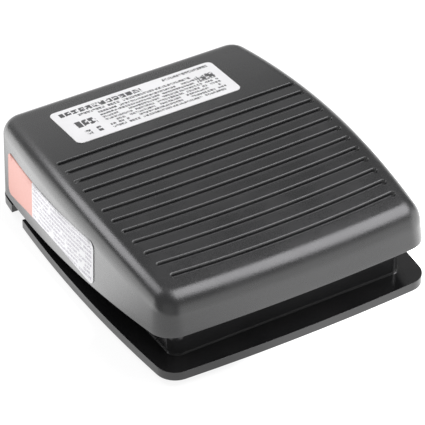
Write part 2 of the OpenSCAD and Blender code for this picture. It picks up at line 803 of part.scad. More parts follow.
module contact_blade() {
    half = blade_w / 2;
    color([0.85, 0.72, 0.4]) {
        block(case_mid_x - half, case_mid_x + half, blade_tip_y, blade_y, blade_z - blade_t / 2,
            blade_z + blade_t / 2);
        along_x(case_mid_x - half, case_mid_x + half, blade_y, blade_z, blade_t);
    }
}

module switch_plunger() {
    color([0.75, 0.15, 0.1]) {
        tip = plunger_r / 2;
        turned(case_mid_x, plunger_y, [[0, plunger_z0], [plunger_r, plunger_z0],
            [plunger_r, plunger_z1 - tip], [plunger_r - tip, plunger_z1], [0, plunger_z1]]);
    }
}

module switch_lever() {
    color([0.8, 0.8, 0.82]) translate([case_mid_x, lever_y, lever_z]) rotate([-lever_free, 0, 0])
        difference() {
            union() {
                block(-lever_w / 2, lever_w / 2, -lever_arm - lever_over, 0, -lever_t / 2, lever_t / 2);
                along_x(-lever_w / 2, lever_w / 2, 0, 0, lever_eye_r);
            }
            along_x(-lever_w, lever_w, 0, 0, lever_pin_r + slip);
        }
}

module lever_pin() {
    half = lever_w / 2 + gap + ear_plate;
    color([0.75, 0.75, 0.78]) along_x(case_mid_x - half, case_mid_x + half, lever_y, lever_z,
        lever_pin_r);
}

module switch_screws() {
    head_x = case_x1 + cover_t;
    color([0.75, 0.75, 0.78]) for (i = [0, 1]) {
        along_x(bracket_x1 - bracket_t - m3_nut_h - m3_r / 2, head_x, hole_y[i], hole_z[i], m3_r);
        difference() {
            along_x(head_x, head_x + m3_head_h, hole_y[i], hole_z[i], m3_head_r);
            block(head_x + m3_head_h - slot_d, head_x + m3_head_h + cut, hole_y[i] - m3_head_r,
                hole_y[i] + m3_head_r, hole_z[i] - slot_w / 2, hole_z[i] + slot_w / 2);
        }
    }
}

module switch_nuts() {
    x1 = bracket_x1 - bracket_t;
    color([0.7, 0.7, 0.72]) for (i = [0, 1]) difference() {
        along_x(x1 - m3_nut_h, x1, hole_y[i], hole_z[i], m3_nut_r, 6);
        along_x(x1 - m3_nut_h - cut, x1 + cut, hole_y[i], hole_z[i], m3_r + slip);
    }
}

module earth_screw() {
    z = top_z + earth_boss_h + earth_washer_t;
    color([0.78, 0.7, 0.4]) m4_screw(earth_x, earth_y, z,
        earth_washer_t + earth_boss_h + base_t - cut);
}

module earth_washer() {
    z = top_z + earth_boss_h;
    color([0.78, 0.78, 0.8]) difference() {
        post(earth_x, earth_y, z, z + earth_washer_t, earth_washer_r);
        post(earth_x, earth_y, z - cut, z + 2 * earth_washer_t, m4_r + slip);
    }
}

module hinge_pin() {
    color([0.78, 0.78, 0.8]) difference() {
        along_x(pin_x0, pin_x1, hinge_y, hinge_h, pin_r);
        difference() {
            along_x(clip_x - slip, clip_x + clip_t + slip, hinge_y, hinge_h, pin_d);
            along_x(clip_x - cut, clip_x + clip_t + cut, hinge_y, hinge_h, pin_r - clip_bite);
        }
    }
}

module hinge_pin_left() {
    mirror([1, 0, 0]) hinge_pin();
}

module hinge_pin_right() {
    hinge_pin();
}

module pin_clips() {
    inner = pin_r - clip_bite + slip;
    color([0.3, 0.3, 0.32]) both_sides() difference() {
        along_x(clip_x, clip_x + clip_t, hinge_y, hinge_h, clip_r);
        along_x(clip_x - cut, clip_x + clip_t + cut, hinge_y, hinge_h, inner);
        block(clip_x - cut, clip_x + clip_t + cut, hinge_y - inner, hinge_y + inner,
            hinge_h - 2 * clip_r, hinge_h);
    }
}

// Points round the wire of one spring, ring by ring
spring_rings = 8;
spring_sides = 6;
spring_wire_r = spring_wire / 2;
spring_r = spring_d / 2 - spring_wire_r;
spring_z0 = top_z + spring_wire_r + slip;
spring_top = spring_z1 - spring_wire_r - gap;
spring_n = spring_turns * spring_rings;
spring_rise = (spring_top - spring_z0) / spring_turns;

function spring_mid(i) = let (a = 360 * i / spring_rings)
    [spring_r * cos(a), spring_r * sin(a), spring_z0 + (spring_top - spring_z0) * i / spring_n];
function spring_ring(i) = let (a = 360 * i / spring_rings, c = spring_mid(i), out = [cos(a), sin(a), 0])
    [for (k = [0:spring_sides - 1]) let (b = 360 * k / spring_sides)
        c + spring_wire_r * (cos(b) * out + sin(b) * [0, 0, 1])];

echo(least_gap_between_spring_turns = spring_rise - spring_wire);

module spring_body() {
    n = spring_sides;
    points = [for (i = [0:spring_n], p = spring_ring(i)) p];
    sides = [for (i = [0:spring_n - 1], k = [0:n - 1], t = [0, 1]) let (a = i * n + k,
        b = i * n + (k + 1) % n) t == 0 ? [a, b, b + n] : [a, b + n, a + n]];
    polyhedron(points = points, faces = concat([[for (k = [n - 1:-1:0]) k]], sides,
        [[for (k = [0:n - 1]) spring_n * n + k]]), convexity = 10);
}

module return_spring_left() {
    color([0.8, 0.8, 0.82]) translate([-spring_x, spring_y, 0]) spring_body();
}

module return_spring_right() {
    color([0.8, 0.8, 0.82]) translate([spring_x, spring_y, 0]) spring_body();
}

module pedal_lug() {
    lug_top = tread_z(hinge_y) - boss_sink;
    block(lug_x, lug_x + lug_t, hinge_y - lug_r, hinge_y + lug_r, hinge_h, lug_top);
    along_x(lug_x, lug_x + lug_t, hinge_y, hinge_h, lug_r);
}

// Bosses that are square to the base when the pedal is at rest
module rest_bosses() {
    both_sides() post(spring_x, spring_y, spring_z1, roof_z(spring_y) + boss_sink, spring_d / 2);
    both_sides() post(spring_x, spring_y, spring_z1 - spring_seat, spring_z1 + cut, spring_peg_r);
    both_sides() post(stop_x, stop_y, stop_z, roof_z(stop_y) + boss_sink, stop_r);
    post(act_x, push_y, act_nut_z1, roof_z(push_y) + boss_sink, act_boss_r);
    block(-hook_w / 2, hook_w / 2, hook_y0, hook_y0 + hook_t, hook_z0, roof_z(hook_y0) + boss_sink);
    block(-hook_w / 2, hook_w / 2, hook_y0, hook_y1, hook_z0, hook_z1);
}

module back_opening() {
    r = tower_x + tower_gap;
    along_y(pedal_back_y - 3 * pedal_t, pedal_back_y + pedal_t, 0, inlet_z, r);
    block(-r, r, pedal_back_y - 3 * pedal_t, pedal_back_y + pedal_t, skirt_h - 2 * pedal_t, inlet_z);
}

module pedal_casting() {
    color([0.2, 0.2, 0.205]) difference() {
        union() {
            at_rest() difference() {
                pedal_solid(0, 0);
                pedal_solid(pedal_t, cut);
                groove_cuts();
            }
            at_rest() both_sides() pedal_lug();
            rest_bosses();
        }
        both_sides() along_x(lug_x - cut, lug_x + lug_t + cut, hinge_y, hinge_h,
            pin_r + bush_t + 2 * slip);
        post(act_x, push_y, act_nut_z1 - cut, roof_z(push_y) + boss_sink / 2, act_r + slip);
        back_opening();
    }
}

module hinge_bushes() {
    color([0.9, 0.88, 0.8]) both_sides() difference() {
        union() {
            along_x(lug_x, lug_x + lug_t, hinge_y, hinge_h, pin_r + bush_t + slip);
            along_x(lug_x - bush_flange, lug_x, hinge_y, hinge_h, lug_r);
        }
        along_x(lug_x - cut, lug_x + lug_t + cut, hinge_y, hinge_h, pin_r + slip);
    }
}

module actuator_screw() {
    color([0.75, 0.75, 0.78]) {
        tip = act_r / 2;
        top = roof_z(push_y);
        turned(act_x, push_y, [[0, act_z0], [act_r - tip, act_z0], [act_r, act_z0 + tip],
            [act_r, top], [0, top]]);
    }
}

module actuator_nut() {
    color([0.7, 0.7, 0.72]) difference() {
        post(act_x, push_y, act_nut_z1 - act_nut_h, act_nut_z1, act_nut_r, 6);
        post(act_x, push_y, act_nut_z1 - 2 * act_nut_h, act_nut_z1 + cut, act_r + slip);
    }
}

module rating_plate() {
    half = plate_w / 2;
    color([0.93, 0.93, 0.92]) at_rest() difference() {
        intersection() {
            translate([0, 0, crest_h - 2 * pedal_edge_r]) linear_extrude(height = 4 * pedal_edge_r)
                round_rect(-half - plate_shift, half - plate_shift, plate_y0, plate_y0 + plate_d,
                    plate_r);
            under_tread(-label_t - label_lift, pedal_w / 2);
        }
        under_tread(-label_lift, pedal_w);
    }
}

// Band that follows the left wall, cut to a rounded strip
module side_label() {
    rs = radius_of(half_bow_l, pedal_side_bow);
    sx = pedal_w / 2 - rs;
    y0 = strip_y1 - strip_l;
    z1 = strip_z0 + strip_h;
    low = strip_z0 - cut;
    high = z1 + cut;
    lean = tan(draft);
    function wall_pt(y, z, out) = let (s = (y - pedal_mid_y), c = sqrt(rs * rs - s * s),
        n = [-c / rs, s / rs], base = [-(sx + c), y] + (out - lean * (z - skirt_h)) * n)
        [base.x, base.y, z];
    function column(i) = let (y = y0 - cut + (strip_l + 2 * cut) * i / strip_cols)
        [wall_pt(y, low, label_lift), wall_pt(y, low, label_lift + label_t),
            wall_pt(y, high, label_lift + label_t), wall_pt(y, high, label_lift)];
    points = [for (i = [0:strip_cols], p = column(i)) p];
    sides = [for (i = [0:strip_cols - 1], k = [0:3], t = [0, 1]) let (a = i * 4 + k,
        b = i * 4 + (k + 1) % 4) t == 0 ? [a, b, b + 4] : [a, b + 4, a + 4]];
    last = strip_cols * 4;
    color([0.93, 0.92, 0.92]) at_rest() intersection() {
        polyhedron(points = points, faces = concat([[3, 2, 1, 0]], sides,
            [[last, last + 1, last + 2, last + 3]]), convexity = 4);
        translate([-pedal_w, 0, 0]) rotate([90, 0, 90]) linear_extrude(height = pedal_w)
            translate([(y0 + strip_y1) / 2, (strip_z0 + z1) / 2]) rotate(strip_turn)
                round_rect(-strip_l / 2, strip_l / 2, -strip_h / 2, strip_h / 2, strip_r);
    }
}

base_casting();
rubber_feet();
foot_screws();
cord_bush();
stop_pads();
limit_strap();
limit_screws();
switch_bracket();
bracket_screws();
switch_case();
switch_cover();
terminal_common();
terminal_closed();
terminal_open();
contact_blade();
switch_plunger();
switch_lever();
lever_pin();
switch_screws();
switch_nuts();
earth_screw();
earth_washer();
hinge_pin_left();
hinge_pin_right();
pin_clips();
return_spring_left();
return_spring_right();
pedal_casting();
hinge_bushes();
actuator_screw();
actuator_nut();
rating_plate();
side_label();
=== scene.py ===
from math import atan, atan2, copysign, cos, hypot, pi, radians, sin, sqrt, tan
import bmesh
import bpy
import numpy as np
from mathutils import Matrix, Vector
from mathutils.geometry import delaunay_2d_cdt


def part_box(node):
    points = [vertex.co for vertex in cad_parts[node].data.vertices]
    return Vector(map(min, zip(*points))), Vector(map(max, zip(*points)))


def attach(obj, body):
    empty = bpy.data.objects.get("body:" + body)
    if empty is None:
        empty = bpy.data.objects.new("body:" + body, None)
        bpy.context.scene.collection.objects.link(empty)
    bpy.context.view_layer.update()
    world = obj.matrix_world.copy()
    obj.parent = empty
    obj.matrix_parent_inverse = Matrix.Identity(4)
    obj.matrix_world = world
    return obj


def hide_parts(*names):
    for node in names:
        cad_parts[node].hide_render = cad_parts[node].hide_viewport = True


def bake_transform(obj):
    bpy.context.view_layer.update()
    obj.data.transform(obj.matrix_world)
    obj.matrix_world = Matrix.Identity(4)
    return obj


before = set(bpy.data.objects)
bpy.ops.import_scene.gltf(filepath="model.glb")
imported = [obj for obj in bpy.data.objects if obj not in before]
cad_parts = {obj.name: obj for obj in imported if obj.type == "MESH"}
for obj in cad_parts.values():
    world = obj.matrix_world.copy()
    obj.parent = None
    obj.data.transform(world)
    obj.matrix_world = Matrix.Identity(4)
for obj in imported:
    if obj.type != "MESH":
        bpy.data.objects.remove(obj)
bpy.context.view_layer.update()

# Foot switch: a satin black cast pedal that tilts over a gloss black base.
# Sizes are in millimetres, as on a drawing, and mm turns them into metres.
mm = 0.001
weldReach = 1e-7  # points of one piece nearer than this, in metres, are one
mergeReach = 2e-6  # the same for points that come from two meshes or from the CAD
scene = bpy.context.scene
print("frame loaded:", len(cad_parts), "pieces")

cameraView = {
    "place": (-0.35732, -0.59814, 0.53861),
    "look": (0.41057, 0.68441, -0.60250),
    "lens": 232.09,
}


def putObject(name, data):
    obj = bpy.data.objects.new(name, data)
    scene.collection.objects.link(obj)
    return obj


def aim(obj, place, heading):
    obj.matrix_world = Matrix.Translation(place) @ heading.to_track_quat("-Z", "Y").to_matrix().to_4x4()


def makeCamera(values):
    lens = bpy.data.cameras.new("packCamera")
    lens.sensor_width = 36
    lens.lens = values["lens"]
    lens.clip_start = 0.02
    scene.camera = putObject("packCamera", lens)
    aim(scene.camera, Vector(values["place"]), Vector(values["look"]))


makeCamera(cameraView)


# small tools for node trees

class signal:
    # a node's output that sums like a number: each sum adds a Math node to its tree
    def __init__(self, socket):
        self.socket = socket

    def __add__(self, other):
        return calc("ADD", self, other)

    def __sub__(self, other):
        return calc("SUBTRACT", self, other)

    def __rsub__(self, other):
        return calc("SUBTRACT", other, self)

    def __mul__(self, other):
        return calc("MULTIPLY", self, other)

    def __truediv__(self, other):
        return calc("DIVIDE", self, other)

    def __lt__(self, other):
        return calc("LESS_THAN", self, other)

    def __gt__(self, other):
        return calc("GREATER_THAN", self, other)


def addNode(tree, kind, inputs=None, **settings):
    made = tree.nodes.new(kind)
    for key, value in settings.items():
        setattr(made, key, value)
    for key, value in (inputs or {}).items():
        plug(made.inputs[key], value)
    return made


def nodeOut(tree, kind, inputs=None, out=0, **settings):
    return signal(addNode(tree, kind, inputs, **settings).outputs[out])


def outsOf(node):
    return {socket.name: signal(socket) for socket in node.outputs}


def plug(socket, value):
    if isinstance(value, signal):
        socket.id_data.links.new(value.socket, socket)
    else:
        socket.default_value = value


def calc(operation, *values, clamp=False):
    tree = [v for v in values if isinstance(v, signal)][0].socket.id_data
    return nodeOut(tree, "ShaderNodeMath", dict(enumerate(values)), operation=operation, use_clamp=clamp)


def ramp(value, low, high, toLow=0.0, toHigh=1.0, kind="SMOOTHSTEP"):
    return nodeOut(value.socket.id_data, "ShaderNodeMapRange", {"Value": value, "From Min": low,
                   "From Max": high, "To Min": toLow, "To Max": toHigh}, interpolation_type=kind)


def blendColour(factor, a, b):
    return nodeOut(factor.socket.id_data, "ShaderNodeMix", {0: factor, 6: a, 7: b}, 2, data_type="RGBA")


def packXYZ(tree, x, y, z):
    return nodeOut(tree, "ShaderNodeCombineXYZ", {0: x, 1: y, 2: z})


def splitXYZ(tree, vector):
    return list(outsOf(addNode(tree, "ShaderNodeSeparateXYZ", {0: vector})).values())


def objectPlace(tree):
    return nodeOut(tree, "ShaderNodeTexCoord", out="Object")


def noise(tree, place, scale, detail, roughness=0.5, distortion=0.0):
    return nodeOut(tree, "ShaderNodeTexNoise", {"Vector": place, "Scale": scale, "Detail": detail,
                   "Roughness": roughness, "Distortion": distortion}, "Fac")


def dotProduct(tree, a, b):
    return nodeOut(tree, "ShaderNodeVectorMath", {0: a, 1: b}, "Value", operation="DOT_PRODUCT")


def movePoints(tree, geometry, x, y, z):
    place = packXYZ(tree, x, y, z)
    return nodeOut(tree, "GeometryNodeSetPosition", {"Geometry": geometry, "Position": place})


def lineOfPoints(tree, count, start, end):
    return nodeOut(tree, "GeometryNodeMeshLine", {"Count": count, "Start Location": start, "Offset": end},
                   mode="END_POINTS")


def inputName(key):
    # rearRound is the key of the input Rear Round
    spaced = "".join(" " + c if c.isupper() else c for c in key)
    return spaced[0].upper() + spaced[1:]


def inMetres(sizes, keys):
    return {inputName(key): sizes[key] * mm for key in keys.split()}


def socketKind(value):
    return {int: "NodeSocketInt", float: "NodeSocketFloat"}.get(type(value), "NodeSocketObject")


def newShapeTree(name, values):
    # a Geometry Nodes tree with one named input for each size in values
    tree = bpy.data.node_groups.new(name, "GeometryNodeTree")
    tree.interface.new_socket("Geometry", in_out="INPUT", socket_type="NodeSocketGeometry")
    for label, value in values.items():
        tree.interface.new_socket(label, in_out="INPUT", socket_type=socketKind(value)).default_value = value
    tree.interface.new_socket("Geometry", in_out="OUTPUT", socket_type="NodeSocketGeometry")
    return tree, outsOf(tree.nodes.new("NodeGroupInput"))


def endShapeTree(tree, geometry, material):
    realized = nodeOut(tree, "GeometryNodeRealizeInstances", {"Geometry": geometry})
    coated = nodeOut(tree, "GeometryNodeSetMaterial", {"Geometry": realized, "Material": material})
    plug(tree.nodes.new("NodeGroupOutput").inputs[0], coated)


def growShape(obj, tree, values):
    # runs the tree on the object with these values and keeps the result as a plain mesh
    modifier = obj.modifiers.new(tree.name, "NODES")
    modifier.node_group = tree
    for item in tree.interface.items_tree:
        if item.item_type == "SOCKET" and item.in_out == "INPUT" and item.name in values:
            modifier[item.identifier] = values[item.name]
    bakeModifiers(obj)


def bakeModifiers(obj):
    depsgraph = bpy.context.evaluated_depsgraph_get()
    mesh = bpy.data.meshes.new_from_object(obj.evaluated_get(depsgraph), depsgraph=depsgraph)
    obj.modifiers.clear()
    obj.data = mesh


# small tools for meshes

def objectFrom(name, points, faces):
    mesh = bpy.data.meshes.new(name)
    mesh.from_pydata([Vector(p) * mm for p in points], [], faces)
    return putObject(name, mesh)


def merged(mesh, reach):
    # the mesh opened for work, points nearer than reach made one
    bm = bmesh.new()
    bm.from_mesh(mesh)
    bmesh.ops.remove_doubles(bm, verts=bm.verts, dist=reach)
    return bm


def closeUp(obj, sharp=35):
    # merges doubles, turns all faces outwards and shades smooth up to the given angle
    bm = merged(obj.data, weldReach)
    bmesh.ops.recalc_face_normals(bm, faces=bm.faces)
    bm.to_mesh(obj.data)
    bm.free()
    smoothTo(obj.data, sharp)
    return obj


def smoothTo(mesh, angle):
    mesh.shade_smooth()
    mesh.set_sharp_from_angle(angle=radians(angle))


def ringSolid(rings, closed=False):
    # body from rings of points: closed joins the last to the first, else both ends get a face
    n, count = len(rings[0]), len(rings)
    points = [p for ring in rings for p in ring]
    faces = []
    for j in range(count if closed else count - 1):
        k = (j + 1) % count
        faces += [(j * n + i, j * n + (i + 1) % n, k * n + (i + 1) % n, k * n + i) for i in range(n)]
    if not closed:
        faces += [tuple(range(n)), tuple((count - 1) * n + i for i in range(n))]
    return points, faces


def onCircle(centre, radius, angle):
    return (centre[0] + radius * cos(angle), centre[1] + radius * sin(angle))


def turnedRings(profile, sides=48):
    # rings of a turned body about Z from a profile of (radius, height)
    return [[onCircle((0, 0), r, 2 * pi * i / sides) + (h,) for i in range(sides)] for r, h in profile]


def quarterArc(r, z, run, rise):
    # the rounded edge of a turned body: inwards by run and up by rise
    turns = [pi / 2 * k / 6 for k in range(1, 7)]
    return [(r - run * (1 - cos(a)), z + rise * sin(a)) for a in turns]


def joinParts(name, parts):
    points, faces = [], []
    for partPoints, partFaces in parts:
        start = len(points)
        points.extend(partPoints)
        faces.extend(tuple(start + i for i in face) for face in partFaces)
    return objectFrom(name, points, faces)


def placed(part, matrix):
    points, faces = part
    return [tuple(matrix @ Vector(p)) for p in points], faces


def dress(obj, material, body, node):
    if material is not None:
        obj.data.materials.clear()
        obj.data.materials.append(material)
    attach(obj, body)
    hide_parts(node)


# shader groups that more than one finish uses

def newLookGroup(name, inputs, outputs):
    tree = bpy.data.node_groups.new(name, "ShaderNodeTree")
    for label, value in inputs.items():
        tree.interface.new_socket(label, in_out="INPUT", socket_type="NodeSocketFloat").default_value = value
    for label in outputs:
        tree.interface.new_socket(label, in_out="OUTPUT", socket_type="NodeSocketFloat")
    return tree, outsOf(tree.nodes.new("NodeGroupInput")), tree.nodes.new("NodeGroupOutput").inputs


def makeCastSkin():
    # orange peel, fine grain and slow cloudiness of a sprayed or moulded surface
    tree, given, made = newLookGroup("castSkin", {"Peel Scale": 900.0, "Grain Scale": 4200.0,
                                     "Grain Share": 0.35}, ["Height", "Cloud", "Grain"])
    place, share = objectPlace(tree), given["Grain Share"]
    peel = noise(tree, place, given["Peel Scale"], 2.0, 0.45)
    grain = noise(tree, place, given["Grain Scale"], 3.0, 0.6)
    cloud = noise(tree, place, 55.0, 4.0, 0.55, 0.4)
    plug(made["Height"], peel * (1.0 - share) + grain * share)
    plug(made["Cloud"], ramp(cloud, 0.32, 0.68))
    plug(made["Grain"], ramp(grain, 0.35, 0.65))
    return tree


def makeEdgeRub():
    # mask of rubbed edges: where a rounded normal turns away from the true one, broken by noise
    tree, given, made = newLookGroup("edgeRub", {"Width": 0.0004, "Amount": 0.5}, ["Rub"])
    rounded = nodeOut(tree, "ShaderNodeBevel", {"Radius": given["Width"]}, samples=4)
    same = dotProduct(tree, rounded, nodeOut(tree, "ShaderNodeNewGeometry", out="Normal"))
    patches = noise(tree, objectPlace(tree), 420.0, 5.0, 0.65)
    plug(made["Rub"], ramp(same, 0.998, 0.9) * ramp(patches, 0.42, 0.62) * given["Amount"])
    return tree


def makeDustFilm():
    # a little settled dust on faces that look up, in specks and a thin film
    tree, given, made = newLookGroup("dustFilm", {"Amount": 0.3}, ["Dust"])
    up = splitXYZ(tree, nodeOut(tree, "ShaderNodeNewGeometry", out="Normal"))[2]
    place = objectPlace(tree)
    specks = nodeOut(tree, "ShaderNodeTexVoronoi", {"Vector": place, "Scale": 420.0}, "Distance")
    mask = ramp(specks, 0.07, 0.03) + ramp(noise(tree, place, 140.0, 6.0), 0.5, 0.8) * 0.35
    plug(made["Dust"], calc("MULTIPLY", mask * ramp(up, 0.4, 0.95), given["Amount"], clamp=True))
    return tree


# shares of a dash, a word and a row that are inked, and how finely a dash is broken into strokes
printHabits = {"dashShare": 0.84, "wordScale": 0.16, "wordFrom": 0.36, "strokesAcross": 3.6,
               "strokesDown": 6.0, "strokeShare": 0.74, "dashSeed": 3.7, "wordSeed": 7.3, "strokeSeed": 9.1}


def makePrintRows():
    # rows of plain printed dashes: Across runs along a row, Down counts the rows
    tree, given, made = newLookGroup("printRows", {"Across": 0.0, "Down": 0.0, "Ink Height": 0.5,
                                     "Dash": 0.9, "Fill": 0.6}, ["Ink"])
    p, across, down = printHabits, given["Across"], given["Down"]
    row, cell = calc("FLOOR", down), across / given["Dash"]

    def chance(x, y, z):
        return nodeOut(tree, "ShaderNodeTexWhiteNoise", {"Vector": packXYZ(tree, x, y, z)}, "Value")

    band = calc("ABSOLUTE", calc("FRACT", down) - 0.5) < given["Ink Height"] * 0.5
    notGap = calc("FRACT", cell) < p["dashShare"]
    solid = chance(calc("FLOOR", cell), row, p["dashSeed"]) < given["Fill"]
    word = packXYZ(tree, across * p["wordScale"], row * p["wordSeed"], 0.0)
    inWord = noise(tree, word, 1.0, 1.0) > p["wordFrom"]
    strokeX, strokeY = calc("FLOOR", cell * p["strokesAcross"]), calc("FLOOR", down * p["strokesDown"])
    stroke = chance(strokeX, strokeY, p["strokeSeed"]) < p["strokeShare"]
    plug(made["Ink"], band * notGap * (solid * inWord) * stroke)
    return tree


castSkin = makeCastSkin()
edgeRub = makeEdgeRub()
dustFilm = makeDustFilm()
printRows = makePrintRows()


def newFinish(name, **settings):
    material = bpy.data.materials.new(name)
    material.use_nodes = True
    tree = material.node_tree
    shader = tree.nodes["Principled BSDF"]
    for label, value in settings.items():
        shader.inputs[label.replace("_", " ")].default_value = value
    return material, tree, shader


def useGroup(tree, group, **inputs):
    made = addNode(tree, "ShaderNodeGroup", node_tree=group)
    for label, value in inputs.items():
        plug(made.inputs[inputName(label)], value)
    return outsOf(made)


def startCoat(name, values, **settings):
    # the skin that all finishes start with, and their tone between dark and light
    material, tree, shader = newFinish(name, **settings)
    skin = useGroup(tree, castSkin, peelScale=values["peel"], grainScale=values["grain"],
                    grainShare=values["grainShare"])
    return material, tree, shader, skin, blendColour(skin["Cloud"], values["dark"], values["light"])


def endCoat(tree, shader, colour, rough, height, relief):
    # relief is the height of the bumps in metres
    plug(shader.inputs["Base Color"], colour)
    plug(shader.inputs["Roughness"], rough)
    plug(shader.inputs["Normal"], nodeOut(tree, "ShaderNodeBump", {"Distance": relief, "Height": height}))


paintDust = (0.16, 0.155, 0.15, 1)
plasticDust = (0.3, 0.29, 0.28, 1)


def makePaint(name, values):
    material, tree, shader, skin, tone = startCoat(name, values, IOR=values["ior"])
    rub = useGroup(tree, edgeRub, width=values["rubWidth"] * mm, amount=values["rub"])["Rub"]
    dust = useGroup(tree, dustFilm, amount=values["dust"])["Dust"]
    worn = blendColour(rub, tone, values["rubbed"])
    rough = ramp(skin["Cloud"], 0, 1, values["rough"] - 0.02, values["rough"] + 0.025, "LINEAR")
    rough = calc("MULTIPLY_ADD", dust, 0.3, skin["Grain"] * values["grainRough"] + rough, clamp=True)
    endCoat(tree, shader, blendColour(dust, worn, paintDust), rough, skin["Height"], values["relief"] * mm)
    return material


pedalPaint = makePaint("pedalPaint", {
    "ior": 1.75, "peel": 1900.0, "grain": 4600.0, "grainShare": 0.45, "relief": 0.026,
    "dark": (0.011, 0.0113, 0.0118, 1), "light": (0.015, 0.0153, 0.0158, 1), "rough": 0.26,
    "grainRough": 0.04, "rubWidth": 0.35, "rub": 0.25, "rubbed": (0.075, 0.075, 0.078, 1), "dust": 0.1})
basePaint = makePaint("basePaint", {
    "ior": 1.65, "peel": 700.0, "grain": 4200.0, "grainShare": 0.2, "relief": 0.005,
    "dark": (0.010, 0.010, 0.0105, 1), "light": (0.014, 0.014, 0.0145, 1), "rough": 0.11,
    "grainRough": 0.02, "rubWidth": 0.3, "rub": 0.25, "rubbed": (0.06, 0.06, 0.063, 1), "dust": 0.12})


def makePlastic(name, values):
    material, tree, shader, skin, tone = startCoat(name, {"grainShare": 0.7, **values}, IOR=values["ior"])
    dust = useGroup(tree, dustFilm, amount=values["dust"])["Dust"]
    endCoat(tree, shader, blendColour(dust, tone, plasticDust), skin["Grain"] * 0.08 + values["rough"],
            skin["Height"], values["relief"] * mm)
    return material


rubberBlack = makePlastic("rubberBlack", {"ior": 1.5, "peel": 1100.0, "grain": 3800.0, "relief": 0.03,
    "dark": (0.02, 0.02, 0.02, 1), "light": (0.032, 0.032, 0.033, 1), "rough": 0.66, "dust": 0.5})
blackPlastic = makePlastic("blackPlastic", {"ior": 1.5, "peel": 900.0, "grain": 5200.0, "relief": 0.012,
    "dark": (0.018, 0.018, 0.019, 1), "light": (0.026, 0.026, 0.028, 1), "rough": 0.42, "dust": 0.2})
redPlastic = makePlastic("redPlastic", {"ior": 1.49, "peel": 700.0, "grain": 4000.0, "relief": 0.005,
    "dark": (0.42, 0.022, 0.015, 1), "light": (0.5, 0.03, 0.02, 1), "rough": 0.28, "dust": 0.1})
nylonCream = makePlastic("nylonCream", {"ior": 1.53, "peel": 600.0, "grain": 3600.0, "relief": 0.01,
    "dark": (0.62, 0.58, 0.46, 1), "light": (0.72, 0.69, 0.58, 1), "rough": 0.45, "dust": 0.1})


metalSkin = {"peel": 500.0, "grain": 2600.0, "grainShare": 0.5}


def makeMetal(name, values):
    # drawn or turned metal: fine lines across, stains in slow clouds, brighter rubbed edges
    material, tree, shader, skin, tone = startCoat(name, {**metalSkin, **values}, Metallic=1.0)
    stretch = nodeOut(tree, "ShaderNodeMapping", {"Vector": objectPlace(tree), "Scale": values["lines"]})
    lines = noise(tree, stretch, 1.0, 4.0, 0.6)
    rub = useGroup(tree, edgeRub, width=0.2 * mm, amount=0.6)["Rub"]
    rough = ramp(lines, 0.3, 0.7, values["rough"] - 0.05, values["rough"] + 0.09, "LINEAR")
    endCoat(tree, shader, blendColour(rub, tone, values["rubbed"]), rough, lines * 0.6 + skin["Height"],
            0.004 * mm)
    return material


zincSteel = makeMetal("zincSteel", {"lines": (900, 5200, 900), "rough": 0.3,
    "dark": (0.5, 0.5, 0.52, 1), "light": (0.66, 0.66, 0.68, 1), "rubbed": (0.8, 0.8, 0.82, 1)})
springSteel = makeMetal("springSteel", {"lines": (2600, 2600, 700), "rough": 0.26,
    "dark": (0.44, 0.44, 0.46, 1), "light": (0.58, 0.58, 0.6, 1), "rubbed": (0.75, 0.75, 0.77, 1)})
darkSteel = makeMetal("darkSteel", {"lines": (900, 900, 3600), "rough": 0.4,
    "dark": (0.05, 0.05, 0.055, 1), "light": (0.09, 0.09, 0.095, 1), "rubbed": (0.3, 0.3, 0.32, 1)})
brassMetal = makeMetal("brassMetal", {"lines": (4200, 900, 900), "rough": 0.3,
    "dark": (0.5, 0.34, 0.12, 1), "light": (0.68, 0.5, 0.2, 1), "rubbed": (0.86, 0.7, 0.34, 1)})
print("finishes made")

# outline shared by the pedal and its labels

pedalShape = {
    "half": 50.85, "sideBow": 3.1, "mid": -4.2, "front": -56.5, "toeBow": 1.9, "back": 56.2069,
    "toeRadius": 8.2, "backRadius": 8.6, "bowReach": 49.7, "skirt": 7.117, "edge": 6.0, "wall": 3.0,
    "lean": 4.0, "crestY": 48.9, "crestZ": 34.3, "treadRadius": 362.0, "rim": 0.5,
    "hingeY": 40.5, "hingeZ": 8.0, "restTilt": 6.3,
}


def bowRadius(half, sag):
    return (half * half + sag * sag) / (2 * sag)


def circlesMeet(a, ra, b, rb):
    dx, dy = b[0] - a[0], b[1] - a[1]
    d = hypot(dx, dy)
    ux, uy = dx / d, dy / d
    along = (ra * ra - rb * rb + d * d) / (2 * d)
    up = sqrt(ra * ra - along * along)
    return max((a[0] + along * ux - s * up * uy, a[1] + along * uy + s * up * ux) for s in (1, -1))


